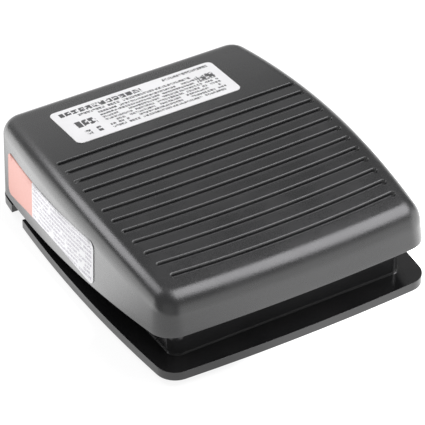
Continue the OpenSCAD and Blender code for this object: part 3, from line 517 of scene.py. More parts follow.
def bowedOutline(shape, steps):
    # point and outward direction all round, counterclockwise from the middle of the toe
    rs = bowRadius(shape["bowReach"], shape["sideBow"])
    rf = bowRadius(shape["half"], shape["toeBow"])
    sc = (shape["half"] - rs, shape["mid"])
    fc = (0.0, shape["front"] + rf)
    r1, r2 = shape["toeRadius"], shape["backRadius"]
    c1 = circlesMeet(fc, rf - r1, sc, rs - r1)
    backC = shape["back"] - r2
    c2 = (sc[0] + sqrt((rs - r2) ** 2 - (backC - shape["mid"]) ** 2), backC)

    def towards(a, b):
        return atan2(b[1] - a[1], b[0] - a[0])

    arcs = [(fc, rf, -pi / 2, towards(fc, c1)), (c1, r1, towards(fc, c1), towards(sc, c1)),
            (sc, rs, towards(sc, c1), towards(sc, c2)), (c2, r2, towards(sc, c2), pi / 2)]
    half = []
    for (centre, radius, a0, a1), count in zip(arcs, steps):
        for k in range(count):
            a = a0 + (a1 - a0) * k / count
            half.append((onCircle(centre, radius, a), (cos(a), sin(a))))
    half.append(((c2[0], shape["back"]), (0.0, 1.0)))
    other = [((-p[0], p[1]), (-n[0], n[1])) for p, n in half[:0:-1]]
    return half + other


def treadZ(y):
    s = pedalShape
    return s["crestZ"] - s["treadRadius"] + sqrt(s["treadRadius"] ** 2 - (y - s["crestY"]) ** 2)


def wallInset(y):
    s = pedalShape
    return tan(radians(s["lean"])) * (treadZ(y) - s["edge"] - s["skirt"])


def skinPoint(pair, shell, turn):
    # point of the pedal skin, or of the surface that lies shell under it; turn is 0 on the wall
    (px, py), (nx, ny) = pair
    r = pedalShape["edge"] - shell
    inset = wallInset(py) + shell + r * (1 - cos(radians(turn)))
    x, y = px - inset * nx, py - inset * ny
    return (x, y, treadZ(y) - shell - r * (1 - sin(radians(turn))))


def footPoint(pair, shell, lift, rim=0.0):
    (px, py), (nx, ny) = pair
    inset = shell + rim + tan(radians(pedalShape["lean"])) * lift
    return (px - inset * nx, py - inset * ny, pedalShape["skirt"] + lift)


def atRest():
    s = pedalShape
    pivot = Vector((0, s["hingeY"], s["hingeZ"]))
    return Matrix.Translation(pivot) @ Matrix.Rotation(radians(-s["restTilt"]), 4, "X") \
        @ Matrix.Translation(-pivot)


# the pedal

pedalRing = bowedOutline(pedalShape, (40, 16, 48, 16))

grooveSizes = {
    "count": 12, "pitch": 5.55, "firstGroove": 16.8, "width": 2.1, "depth": 1.12, "halfLength": 43.4,
    "bow": 1.9, "pull": 2.6, "rightMore": 1.3, "leftLess": 2.3, "rearRound": 0.3, "frontRound": 0.08,
    "wallRun": 0.12, "endRun": 0.85,
}


def pedalShell():
    # wall, fillet and inner skin as one closed body with a plain lid that is swapped later
    s = pedalShape
    rim, inner = s["rim"], s["wall"]
    rings = [[skinPoint(p, 0, t) for p in pedalRing] for t in range(60, -1, -6)]
    wallTop = rings[-1]
    wallFoot = [footPoint(p, 0, rim) for p in pedalRing]
    for k in (1, 2, 3):
        rings.append([tuple(a + (b - a) * k / 4 for a, b in zip(u, v)) for u, v in zip(wallTop, wallFoot)])
    for turn in (0, 30, 60, 90):
        a = radians(turn)
        rings.append([footPoint(p, 0, rim * (1 - sin(a)), rim * (1 - cos(a))) for p in pedalRing])
    for turn in (90, 45, 0):
        a = radians(turn)
        rings.append([footPoint(p, inner, rim * (1 - sin(a)), -rim * (1 - cos(a)) * 0.6)
                      for p in pedalRing])
    rings.extend([[skinPoint(p, inner, t) for p in pedalRing] for t in (0, 15, 30, 45, 60, 75, 90)])
    n = len(pedalRing)
    points, faces = ringSolid(rings)
    faces = faces[:-2]
    for start in (0, (len(rings) - 1) * n):
        half = (n - 1) // 2
        for i in range(half):
            a, b, c, d = start + i, start + i + 1, start + n - i - 1, start + (n - i) % n
            faces.append((a, b, c) if i == 0 else (a, b, c, d))
    turn = atRest()
    return [tuple(turn @ Vector(p)) for p in points], faces, rings[0]


def grooveLoops():
    # closed loops of points round each groove's middle line, at several distances from it
    g = grooveSizes
    loops, lines = [], []
    steps, ends = 46, 12
    half, r, f, w = g["width"] / 2, g["rearRound"], g["frontRound"], g["wallRun"]
    for k in range(g["count"]):
        share = k / (g["count"] - 1)
        reach = g["halfLength"] - g["pull"] * share * share - g["width"] / 2
        bow, y0 = g["bow"] * share, g["firstGroove"] - k * g["pitch"]
        middle = []
        for i in range(steps + 1):
            part = -1 + 2 * i / steps
            x = part * reach + max(part, 0) * g["rightMore"] + max(-part, 0) * g["leftLess"] * share ** 6
            y = y0 - bow * (1 - (x / g["halfLength"]) ** 2)
            middle.append((x, y, atan(2 * bow * x / g["halfLength"] ** 2)))
        lines.append([(x, y) for x, y, a in middle])
        for d in (0.45 * half, half - w * 1.8, half - w, half, half + f, half + r * 0.6, half + r,
                  half + r * 1.6):
            loop = []
            for side, turn in ((middle, -pi / 2), (middle[::-1], pi / 2)):
                loop += [onCircle((x, y), d, a + turn) for x, y, a in side]
                x, y, a = side[-1]
                loop += [onCircle((x, y), d, a + turn + pi * i / ends) for i in range(1, ends)]
            loops.append(loop)
    return loops, lines


def insetOf(points):
    # how far each point lies inside the pedal's foot outline, and the y of the outline there
    ring = np.array([pair[0] for pair in pedalRing])
    edge = np.roll(ring, -1, axis=0) - ring
    share = ((points[:, None] - ring) * edge).sum(2) / (edge ** 2).sum(1)
    foot = ring + np.clip(share, 0, 1)[..., None] * edge
    away = np.linalg.norm(points[:, None] - foot, axis=2)
    rows, pick = np.arange(len(points)), away.argmin(1)
    return away[rows, pick], foot[rows, pick, 1]


def topHeight(points):
    # height of the ungrooved skin over each point inside the fillet
    inset, atY = insetOf(points)
    r = pedalShape["edge"]
    heights = []
    for y, d, ey in zip(points[:, 1], inset, atY):
        part = min(max((d - wallInset(ey)) / r, 0.0), 1.0)
        heights.append(treadZ(y) - r * (1 - sqrt(max(0.0, 1 - (1 - part) ** 2))))
    return heights


netSizes = {"step": 2.5, "inset": 8.2, "clear": 0.9}


def treadCap(edgeRing):
    # the top inside the fillet: a triangle net whose lines run along the grooves and the edge
    coords = [p[:2] for p in edgeRing]
    n = len(coords)
    edges = [(i, (i + 1) % n) for i in range(n)]

    def addChain(chain, closed=True):
        start = len(coords)
        coords.extend(chain)
        last = len(chain) if closed else len(chain) - 1
        edges.extend((start + i, start + (i + 1) % len(chain)) for i in range(last))

    for turn in range(66, 91, 6):
        addChain([skinPoint(p, 0, turn)[:2] for p in pedalRing])
    loops, lines = grooveLoops()
    for loop in loops:
        addChain(loop)
    for line in lines:
        addChain(line, False)
    taken = np.array(coords)
    net = netSizes  # plain points fill the room between the lines
    spots = [(x, y) for y in np.arange(-50, 51, net["step"]) for x in np.arange(-45, 46, net["step"])]
    for spot, d in zip(spots, insetOf(np.array(spots))[0]):
        if d > net["inset"] and np.abs(taken - spot).max(1).min() > net["clear"]:
            coords.append(spot)
    flat, faces = fillLoop(coords, edges, n)
    heights = topHeight(flat)
    known = {(round(p[0], 4), round(p[1], 4)): p[2] for p in edgeRing}
    points = [(x, y, known.get((round(x, 4), round(y, 4)), z)) for (x, y), z in zip(flat, heights)]
    return objectFrom("treadCap", points, faces)


def fillLoop(coords, edges, n):
    # triangles through all coords inside the closed loop of the first n, along the given edges
    result = delaunay_2d_cdt([Vector(c) for c in coords], edges, [list(range(n))], 1, 1e-6)
    return np.array([tuple(v) for v in result[0]]), result[2]


def grooveTree():
    # sinks bowed grooves into whatever it is given, in the frame of the level pedal
    keys = "pitch firstGroove width depth halfLength bow pull rightMore leftLess rearRound frontRound " \
        "wallRun endRun crestY crestZ treadRadius"
    tree, given = newShapeTree("treadGrooves", {"Count": grooveSizes["count"],
                               **inMetres({**grooveSizes, **pedalShape}, keys)})
    # one bowed line of points down the middle of each groove
    rows = nodeOut(tree, "GeometryNodeMeshLine", {"Count": given["Count"]})
    rows = nodeOut(tree, "GeometryNodeMeshToPoints", {"Mesh": rows})
    line = lineOfPoints(tree, 65, (-1, 0, 0), (1, 0, 0))
    spread = nodeOut(tree, "GeometryNodeInstanceOnPoints", {"Points": rows, "Instance": line})
    index = nodeOut(tree, "GeometryNodeInputIndex")
    marked = nodeOut(tree, "GeometryNodeStoreNamedAttribute", {"Geometry": spread, "Name": "grooveRow",
                     "Value": index}, data_type="FLOAT", domain="INSTANCE")
    lines = nodeOut(tree, "GeometryNodeRealizeInstances", {"Geometry": marked})
    row = nodeOut(tree, "GeometryNodeInputNamedAttribute", {"Name": "grooveRow"}, data_type="FLOAT")
    along = (calc("MODULO", index, 65.0) - 32.0) / 32.0
    share = row / (given["Count"] - 1.0)
    reach = given["Half Length"] - given["Pull"] * (share * share) - given["Width"] * 0.5
    rightMore = calc("MAXIMUM", along, 0.0) * given["Right More"]
    leftLess = calc("MAXIMUM", along * -1.0, 0.0) * (given["Left Less"] * calc("POWER", share, 6.0))
    x = along * reach + rightMore + leftLess
    part = x / given["Half Length"]
    sag = given["Bow"] * share * (1.0 - part * part)
    bent = movePoints(tree, lines, x, given["First Groove"] - row * given["Pitch"] - sag, 0.0)

    hereX, hereY, hereZ = splitXYZ(tree, nodeOut(tree, "GeometryNodeInputPosition"))
    flat = packXYZ(tree, hereX, hereY, 0.0)
    near = outsOf(addNode(tree, "GeometryNodeProximity", {0: bent, "Sample Position": flat},
                          target_element="EDGES"))
    footX, footY = splitXYZ(tree, near["Position"])[:2]
    half = given["Width"] * 0.5
    beyond = near["Distance"] - half
    # the rear edge is rounded and catches the light, the front edge is nearly sharp
    rear = ramp((hereY - footY) / half, -0.5, 0.5)
    rounding = rear * (given["Rear Round"] - given["Front Round"]) + given["Front Round"]
    inner = 1.0 - calc("DIVIDE", beyond, rounding, clamp=True)
    lipDrop = rounding * (1.0 - calc("SQRT", 1.0 - inner * inner))
    # the ends of a groove run out on a slope
    atEnd = ramp(calc("ABSOLUTE", hereX - footX) / half, 0.15, 1.0)
    wallRun = atEnd * given["End Run"] + given["Wall Run"]
    inside = calc("DIVIDE", beyond * -1.0, wallRun, clamp=True)
    drop = inside * (given["Depth"] - rounding) + lipDrop
    run, radius = hereY - given["Crest Y"], given["Tread Radius"]
    level = given["Crest Z"] - radius + calc("SQRT", radius * radius - run * run)
    free = drop < 1e-6  # a metre up, so the skin beside the grooves stays as it is
    z = calc("MINIMUM", hereZ, level - drop + free)
    endShapeTree(tree, movePoints(tree, given["Geometry"], hereX, hereY, z), pedalPaint)
    return tree


def roofZ(y):
    # underside of the tread over a place on the base, at rest
    s = pedalShape
    t = radians(s["restTilt"])
    dy, dz = y - s["hingeY"], treadZ(y) - s["wall"] - s["hingeZ"]
    return s["hingeZ"] - dy * sin(t) + dz * cos(t)


def postPart(x, y, z0, z1, r, edge=0.3):
    # upright post with a rounded lower edge
    rings = turnedRings([(r - edge, z0), (r - edge * 0.3, z0 + edge * 0.3), (r, z0 + edge), (r, z1)])
    return placed(ringSolid(rings), Matrix.Translation((x, y, 0)))


def blockPart(x0, x1, y0, y1, z0, z1, edge=0.3):
    # block with chamfered edges
    def ring(z, inset):
        a, b, p, q, c = x0 + inset, x1 - inset, y0 + inset, y1 - inset, edge
        return [(a + c, p, z), (b - c, p, z), (b, p + c, z), (b, q - c, z), (b - c, q, z),
                (a + c, q, z), (a, q - c, z), (a, p + c, z)]

    return ringSolid([ring(z0, edge), ring(z0 + edge, 0), ring(z1 - edge, 0), ring(z1, edge)])


def eyeOutline(y, z, r, top):
    # an upright tongue with a round lower end, seen along X
    low = [onCircle((y, z), r, pi + pi * i / 24) for i in range(25)]
    heights = [z + (top - z) * k / 4 for k in (1, 2, 3, 4)]
    return low + [(y + r, h) for h in heights] + [(y + r - 2 * r * k / 6, top) for k in range(1, 6)] \
        + [(y - r, h) for h in heights[::-1]]


def eyePart(x0, x1, y, z, r, top, bore, edge=0.35, boreEdge=0.2):
    # a tongue from x0 to x1 with a bore through it, all its edges chamfered
    outer = eyeOutline(y, z, r, top)
    inner = [onCircle((y, z), bore, atan2(q - z, p - y)) for p, q in outer]

    def ring(x, loop, grow):
        scales = [1 + grow / max(hypot(p - y, q - z), 0.1) for p, q in loop]
        return [(x, y + (p - y) * k, z + (q - z) * k) for (p, q), k in zip(loop, scales)]

    return ringSolid([ring(x0, outer, -edge), ring(x0 + edge, outer, 0), ring(x1 - edge, outer, 0),
                      ring(x1, outer, -edge), ring(x1, inner, boreEdge), ring(x1 - boreEdge, inner, 0),
                      ring(x0 + boreEdge, inner, 0), ring(x0, inner, boreEdge)], True)


underSizes = {
    "springX": 27.0, "springY": -32.4, "springTop": 26.967, "springR": 5.2, "pegR": 3.6, "pegDrop": 3.0,
    "stopX": 33.0, "stopY": 11.0, "stopZ": 13.12, "stopR": 4.0, "screwX": -10.0, "screwY": 3.0,
    "screwZ": 30.82, "screwR": 4.6, "sink": 1.0, "hookHalf": 6.0, "hookZ0": 13.8, "hookZ1": 15.8,
    "hookY0": -44.1, "hookT": 2.0, "hookY1": -37.5, "lugX": 36.3, "lugT": 6.0, "lugR": 4.4, "lugBore": 3.4,
    "archR": 9.5, "archZ": 14.0, "archDown": 14.0, "archIn": 9.0, "archOut": 5.0,
}


def pedalUnderside():
    u, p = underSizes, pedalShape

    def postToRoof(x, y, low, radius):
        return postPart(x, y, low, roofZ(y) + u["sink"], radius)

    parts = []
    for side in (-1, 1):
        x = side * u["springX"]
        parts.append(postToRoof(x, u["springY"], u["springTop"], u["springR"]))
        parts.append(postPart(x, u["springY"], u["springTop"] - u["pegDrop"],
                              u["springTop"] + u["sink"], u["pegR"], 0.6))
        parts.append(postToRoof(side * u["stopX"], u["stopY"], u["stopZ"], u["stopR"]))
        lug = placed(eyePart(u["lugX"], u["lugX"] + u["lugT"], p["hingeY"], p["hingeZ"], u["lugR"],
                             treadZ(p["hingeY"]) - u["sink"], u["lugBore"]), atRest())
        parts.append(lug if side > 0 else placed(lug, Matrix.Scale(-1, 4, (1, 0, 0))))
    parts.append(postToRoof(u["screwX"], u["screwY"], u["screwZ"], u["screwR"]))
    h, y, z = u["hookHalf"], u["hookY0"], u["hookZ0"]
    parts.append(blockPart(-h, h, y, y + u["hookT"], z, roofZ(y) + u["sink"]))
    parts.append(blockPart(-h, h, y + 0.1, u["hookY1"], z, u["hookZ1"]))
    return parts


def archCutter():
    # opening over the cord inlet: a round arch, open downwards
    u, back = underSizes, pedalShape["back"]
    r, z, low = u["archR"], u["archZ"], u["archZ"] - u["archDown"]
    loop = [(r, low)] + [onCircle((0, z), r, pi * i / 40) for i in range(41)] + [(-r, low)]
    rings = [[(x, y, q) for x, q in loop] for y in (back - u["archIn"], back + u["archOut"])]
    return closeUp(objectFrom("archCutter", *ringSolid(rings)))


def cutAway(obj, cutter):
    modifier = obj.modifiers.new("cut", "BOOLEAN")
    modifier.operation = "DIFFERENCE"
    modifier.solver = "EXACT"
    modifier.object = cutter
    bakeModifiers(obj)
    bpy.data.objects.remove(cutter)


def makePedal():
    points, faces, edgeRing = pedalShell()
    shell = closeUp(objectFrom("pedalShell", points, faces))
    cutAway(shell, archCutter())
    cap = treadCap(edgeRing)
    growShape(cap, grooveTree(), inMetres(grooveSizes, "depth width"))
    turn = atRest()
    turnInMetres = turn.copy()
    turnInMetres.translation = turn.translation * mm
    cap.data.transform(turnInMetres)
    ringKeys = {tuple(round(c, 3) for c in turn @ Vector(p)) for p in edgeRing}
    bm = bmesh.new()
    bm.from_mesh(shell.data)
    lid = [f for f in bm.faces if all(tuple(round(c, 3) for c in v.co / mm) in ringKeys for v in f.verts)]
    bmesh.ops.delete(bm, geom=lid, context="FACES")
    bm.from_mesh(cap.data)
    bmesh.ops.remove_doubles(bm, verts=bm.verts, dist=mergeReach)
    bmesh.ops.recalc_face_normals(bm, faces=bm.faces)
    openEdges = sum(1 for e in bm.edges if not e.is_manifold)
    under = closeUp(joinParts("pedalUnder", pedalUnderside()))
    bm.from_mesh(under.data)
    mesh = bpy.data.meshes.new("pedal")
    bm.to_mesh(mesh)
    bm.free()
    for extra in (shell, cap, under):
        bpy.data.objects.remove(extra)
    low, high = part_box("pedal_casting")
    for vertex in mesh.vertices:  # the smooth bow stays inside the facets of the casting
        vertex.co = [min(max(c, a), b) for c, a, b in zip(vertex.co, low, high)]
    smoothTo(mesh, 50)
    dress(putObject("pedal", mesh), pedalPaint, "pedal", "pedal_casting")
    print("pedal made:", len(mesh.polygons), "faces,", openEdges, "open edges")


makePedal()


# pieces that keep the CAD shape, with their hard edges eased

def plainCopy(node):
    # merged copy of a CAD node as one mesh of flat faces
    bm = merged(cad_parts[node].data, mergeReach)
    bmesh.ops.dissolve_limit(bm, angle_limit=radians(0.6), verts=bm.verts, edges=bm.edges)
    points = [tuple(v.co / mm) for v in bm.verts]
    bm.verts.index_update()
    faces = [tuple(v.index for v in f.verts) for f in bm.faces]
    bm.free()
    return points, faces


def easedCopy(node, name, edge, reshape=None):
    obj = objectFrom(name, *plainCopy(node))
    bevel = obj.modifiers.new("easedEdges", "BEVEL")
    bevel.width = edge * mm
    bevel.segments = 2
    bevel.limit_method = "ANGLE"
    bevel.angle_limit = radians(35)
    bakeModifiers(obj)
    if reshape:
        reshape(obj.data)
    obj.data.shade_smooth()
    obj.modifiers.new("evenNormals", "WEIGHTED_NORMAL").weight = 100
    bakeModifiers(obj)
    return obj


# the bead lies between low and high, within inside and outside of the wall; run and rise are what stays
beadSizes = {"halfX": 41.6, "toeY": -48.5, "corner": 4.0, "low": 5.1, "high": 5.9,
             "inside": -0.05, "outside": 1.2, "run": 0.36, "rise": 0.75}


def slimBead(mesh):
    # turns the square bead at the foot of the base wall into a slim steep lip
    w = beadSizes
    for v in mesh.vertices:
        x, y, z = v.co / mm
        if not w["low"] < z < w["high"]:
            continue
        side = copysign(1, x)
        dx, dy = abs(x) - (w["halfX"] - w["corner"]), -y + w["toeY"] + w["corner"]
        if dx > 0 and dy > 0:
            reach = hypot(dx, dy)
            out, gx, gy = reach - w["corner"], side * dx / reach, -dy / reach
        elif dx > dy:
            out, gx, gy = abs(x) - w["halfX"], side, 0
        else:
            out, gx, gy = -y + w["toeY"], 0, -1
        if w["inside"] < out < w["outside"]:
            back = out * (1 - w["run"])
            v.co = Vector((x - gx * back, y - gy * back, w["low"] + (z - w["low"]) * w["rise"])) * mm


easedPieces = [
    ("base_casting", "base", 0.35, basePaint, "base", "base_paint"),
    ("cord_bush", "cordBush", 0.3, blackPlastic, "base", "black_plastic"),
    ("stop_pads", "stopPads", 0.5, rubberBlack, "base", "rubber"),
    ("limit_strap", "limitStrap", 0.15, zincSteel, "base", "zinc_steel"),
    ("switch_bracket", "switchBracket", 0.15, zincSteel, "base", "zinc_steel"),
    ("switch_case", "switchCase", 0.2, blackPlastic, "base", "black_plastic"),
    ("switch_cover", "switchCover", 0.25, blackPlastic, "base", "black_plastic"),
    ("switch_lever", "switchLever", 0.1, springSteel, "lever", "spring_steel"),
    ("hinge_bushes", "hingeBushes", 0.1, nylonCream, "pedal", "nylon"),
    ("pin_clips", "pinClips", 0.08, darkSteel, "base", "dark_steel"),
]
for node, name, edge, material, body, slotName in easedPieces:
    made = easedCopy(node, name, edge, reshape=slimBead if name == "base" else None)
    dress(made, material, body, node)

keptPieces = {
    "terminal_common": brassMetal, "terminal_closed": brassMetal, "terminal_open": brassMetal,
    "contact_blade": brassMetal, "switch_plunger": redPlastic, "lever_pin": zincSteel,
    "switch_nuts": zincSteel, "earth_washer": zincSteel, "hinge_pin_left": zincSteel,
    "hinge_pin_right": zincSteel, "actuator_screw": zincSteel, "actuator_nut": zincSteel,
}
for node, material in keptPieces.items():
    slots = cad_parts[node].data.materials
    if len(slots):
        for index in range(len(slots)):
            slots[index] = material
    else:
        slots.append(material)
print("base and switch pieces dressed")

# screws, feet and springs by Geometry Nodes

# rise is the head's height; slot, its width; reach, the length of the shank
# dome is the rounded share of the rise, domeRun how far it comes in for that, tip the shank's narrow end
panHead = {"head": 3.5, "rise": 2.4, "slot": 0.9, "slotDeep": 0.9, "shank": 2.0, "reach": 3.6,
           "dome": 0.35, "domeRun": 1.6, "tip": 0.7, "facing": (0, 0, 1), "coat": "zinc_steel"}
screwHeads = {
    "limit_screws": {**panHead, "name": "limitScrews"},
    "bracket_screws": {**panHead, "name": "bracketScrews"},
    "earth_screw": {**panHead, "name": "earthScrew", "reach": 4.5, "coat": "brass"},
    "foot_screws": {**panHead, "name": "footScrews", "head": 2.9, "rise": 1.5, "slotDeep": 0.45,
                    "shank": 1.5, "reach": 2.7, "facing": (0, 0, -1)},
    "switch_screws": {**panHead, "name": "switchScrews", "head": 2.75, "rise": 2.0, "shank": 1.5,
                      "reach": 12.0, "facing": (1, 0, 0)},
}


def headMaster(name, h):
    # one slotted pan head screw, head up, seat at z 0
    r, rise, edge, shank = h["head"], h["rise"], h["rise"] * h["dome"], h["shank"]
    profile = [(shank * h["tip"], -h["reach"]), (shank, -h["reach"] + shank * 0.3), (shank, -0.1),
               (shank + 0.1, 0), (r - 0.08, 0), (r, 0.08), (r, rise - edge)]
    profile += quarterArc(r, rise - edge, edge * h["domeRun"], edge)
    screw = closeUp(joinParts(name, [ringSolid(turnedRings(profile, 40))]))
    w = h["slot"] / 2
    slot = blockPart(-r - 1, r + 1, -w, w, rise - h["slotDeep"], rise + 1, 0.02)
    cutAway(screw, closeUp(objectFrom(name + "Slot", *slot)))
    closeUp(screw, 30)
    screw.hide_render = True
    return screw


def screwTree(material):
    tree, given = newShapeTree("screwsOnPlaces", {"Turn Seed": 4, "Size": 1.0, "Screw": None})
    screw = nodeOut(tree, "GeometryNodeObjectInfo", {"Object": given["Screw"]}, "Geometry")
    facing = nodeOut(tree, "GeometryNodeInputNamedAttribute", {"Name": "facing"}, data_type="FLOAT_VECTOR")
    aim = nodeOut(tree, "FunctionNodeAlignRotationToVector", {"Vector": facing}, axis="Z")
    spin = nodeOut(tree, "FunctionNodeRandomValue", {"Seed": given["Turn Seed"], 3: pi}, 1,
                   data_type="FLOAT")
    roll = nodeOut(tree, "FunctionNodeAxisAngleToRotation", {"Axis": (0, 0, 1), "Angle": spin})
    turned = nodeOut(tree, "FunctionNodeRotateRotation", {"Rotation": aim, "Rotate By": roll},
                     rotation_space="LOCAL")
    put = nodeOut(tree, "GeometryNodeInstanceOnPoints", {"Points": given["Geometry"], "Instance": screw,
                  "Rotation": turned, "Scale": packXYZ(tree, *[given["Size"]] * 3)})
    endShapeTree(tree, put, material)
    return tree


def solidBoxes(node):
    # lowest and highest corner of each loose solid of a CAD node
    bm = merged(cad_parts[node].data, mergeReach)
    left, found = set(bm.verts), []
    while left:
        stack, island = [left.pop()], []
        while stack:
            v = stack.pop()
            island.append(v.co.copy())
            for e in v.link_edges:
                w = e.other_vert(v)
                if w in left:
                    left.remove(w)
                    stack.append(w)
        low = Vector([min(c[i] for c in island) for i in range(3)])
        high = Vector([max(c[i] for c in island) for i in range(3)])
        found.append((low, high))
    bm.free()
    return sorted(found, key=lambda b: tuple(round(c, 5) for c in b[0]))


def placesObject(name, places, facing):
    # a bare point on every place, with the way its piece faces
    mesh = bpy.data.meshes.new(name)
    mesh.from_pydata([tuple(p) for p in places], [], [])
    for item in mesh.attributes.new("facing", "FLOAT_VECTOR", "POINT").data:
        item.vector = facing
    return putObject(name, mesh)


def makeScrews():
    trees = {"zinc_steel": screwTree(zincSteel), "brass": screwTree(brassMetal)}
    for node, h in screwHeads.items():
        facing = Vector(h["facing"])
        places = []
        for low, high in solidBoxes(node):
            # the seat of the head lies one head's rise in from the end it faces
            place = (low + high) / 2
            for i in range(3):
                if facing[i]:
                    place[i] = (high if facing[i] > 0 else low)[i] - facing[i] * h["rise"] * mm
            places.append(place)
        growPieces(h["name"], headMaster(h["name"] + "Master", h), places, facing, trees[h["coat"]],
                   len(h["name"]), node)


def growPieces(name, master, places, facing, tree, seed, node):
    # sets the master on every place, all facing one way, as one piece
    pieces = placesObject(name, places, facing)
    growShape(pieces, tree, {"Screw": master, "Turn Seed": seed, "Size": 1.0})
    bpy.data.objects.remove(master)
    smoothTo(pieces.data, 30)
    dress(pieces, None, "base", node)


makeScrews()

# step is where the foot narrows, and a shallow ring runs round its underside
footSizes = {"radius": 6.0, "height": 3.2, "hole": 2.95, "bore": 1.55, "seat": 2.0, "rim": 0.6,
             "top": 0.1, "step": 1.2, "narrower": 0.15, "lip": 0.25, "ringOut": 4.6, "ringIn": 4.0,
             "ringDeep": 0.12}


def footMaster():
    f = footSizes
    r, h, e, lip = f["radius"], f["height"], f["rim"], f["lip"]
    outside, inside, deep = f["ringOut"], f["ringIn"], f["ringDeep"]
    profile = [(f["bore"], f["seat"]), (f["bore"], h), (r - 0.05, h), (r, h - f["top"]), (r, h - f["step"]),
               (r - f["narrower"], h - f["step"] - 0.2), (r, e + lip)]
    profile += quarterArc(r, e, e, -e)
    profile += [(outside, 0.0), (outside - 0.1, deep), (inside + 0.1, deep), (inside, 0.0),
                (f["hole"] + lip, 0.0), (f["hole"], lip), (f["hole"], f["seat"])]
    foot = joinParts("footMaster", [ringSolid(turnedRings(profile, 56), True)])
    foot.hide_render = True
    return closeUp(foot, 30)


def makeFeet():
    places = [((a.x + b.x) / 2, (a.y + b.y) / 2, a.z) for a, b in solidBoxes("rubber_feet")]
    growPieces("rubberFeet", footMaster(), places, (0, 0, 1), screwTree(rubberBlack), 2,
               "rubber_feet")


makeFeet()

# a closed end turn rises by flatRise of the wire, and the open turns begin after lead of it
springSizes = {"turns": 7.0, "radius": 4.6, "wire": 0.6, "low": 5.75, "high": 26.07, "x": 27.0, "y": -32.4,
               "heldLow": 6.4, "heldHigh": 23.4, "flatRise": 0.9, "lead": 0.6}


def springTree():
    s = springSizes
    tree, given = newShapeTree("coilSpring", {"Turns": s["turns"], "Closed Turns": 1.0,
                               **inMetres(s, "radius wire low high")})
    curve = nodeOut(tree, "GeometryNodeMeshToCurve", {"Mesh": lineOfPoints(tree, 337, (0, 0, 0), (1, 0, 0))})
    share = nodeOut(tree, "GeometryNodeSplineParameter", out="Factor")
    angle = share * given["Turns"] * (2 * pi)
    closed, coil = given["Closed Turns"] / given["Turns"], given["Wire"] * 2.0
    lift = ramp(share, closed * s["lead"], 1.0 - closed * s["lead"], kind="LINEAR")
    flatLow = ramp(share, 0.0, closed, kind="LINEAR") * coil * s["flatRise"]
    flatHigh = ramp(share, 1.0 - closed, 1.0, kind="LINEAR") * coil * s["flatRise"]
    room = given["High"] - given["Low"] - coil * (2 * s["flatRise"])
    wound = movePoints(tree, curve, calc("COSINE", angle) * given["Radius"],
                       calc("SINE", angle) * given["Radius"],
                       given["Low"] + (flatLow + flatHigh) + lift * room)
    section = nodeOut(tree, "GeometryNodeCurvePrimitiveCircle", {"Resolution": 12, "Radius": given["Wire"]})
    wire = nodeOut(tree, "GeometryNodeCurveToMesh", {"Curve": wound, "Profile Curve": section,
                   "Fill Caps": True})
    put = nodeOut(tree, "GeometryNodeInstanceOnPoints", {"Points": given["Geometry"], "Instance": wire})
    endShapeTree(tree, put, springSteel)
    return tree


def makeSprings():
    s = springSizes
    tree = springTree()
    for side, name, node in ((-1, "returnSpringLeft", "return_spring_left"),
                             (1, "returnSpringRight", "return_spring_right")):
        x, y = side * s["x"] * mm, s["y"] * mm
        spring = placesObject(name, [(x, y, 0)], (0, 0, 1))
        growShape(spring, tree, {"Turns": s["turns"], "Closed Turns": 1.0})
        closeUp(spring, 40)
        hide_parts(node)
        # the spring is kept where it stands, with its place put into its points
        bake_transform(spring)


makeSprings()
print("screws, feet and springs made")

# labels

# net is the spacing of a sheet's points, lift its stand-off for the glue
plateSizes = {"x0": -32.1, "x1": 28.3, "y0": 23.0, "y1": 43.8, "corner": 2.0, "lift": 0.02,
              "thick": 0.2, "net": 2.6}
stripSizes = {"y0": -16.7, "y1": 45.7, "z0": 9.417, "high": 15.0, "corner": 2.2, "turn": 2.0,
              "lift": 0.02, "thick": 0.2, "net": 2.4}


def roundedRect(x0, x1, y0, y1, r):
    loop, ends = [], 7
    for cx, cy, a0 in ((x1 - r, y0 + r, -90), (x1 - r, y1 - r, 0), (x0 + r, y1 - r, 90),
                       (x0 + r, y0 + r, 180)):
        loop += [onCircle((cx, cy), r, radians(a0 + 90 * k / ends)) for k in range(ends + 1)]
    return loop


def sheetPart(loop, spacing, lay, thick):
    # thin flat-edged sheet: lay(u, v, out) gives the place of a point that stands out by so much
    n = len(loop)
    us, vs = [p[0] for p in loop], [p[1] for p in loop]
    coords, taken = list(loop), np.array(loop)
    edges = [(i, (i + 1) % n) for i in range(n)]
    for v in np.arange(min(vs) + spacing, max(vs), spacing):
        for u in np.arange(min(us) + spacing, max(us), spacing):
            if np.abs(taken - (u, v)).max(1).min() > spacing * 0.4:
                coords.append((u, v))
    flat, faces = fillLoop(coords, edges, n)
    count = len(flat)
    key = {(round(u, 4), round(v, 4)): i for i, (u, v) in enumerate(flat)}
    rim = [key[(round(u, 4), round(v, 4))] for u, v in loop]
    points = [lay(u, v, out) for out in (thick, 0) for u, v in flat]
    allFaces = [tuple(f) for f in faces] + [tuple(count + i for i in reversed(f)) for f in faces]
    allFaces += [(a, count + a, count + b, b) for a, b in zip(rim, rim[1:] + rim[:1])]
    return points, allFaces


def layPlate(u, v, out):
    return (u, v, treadZ(v) + plateSizes["lift"] + out)


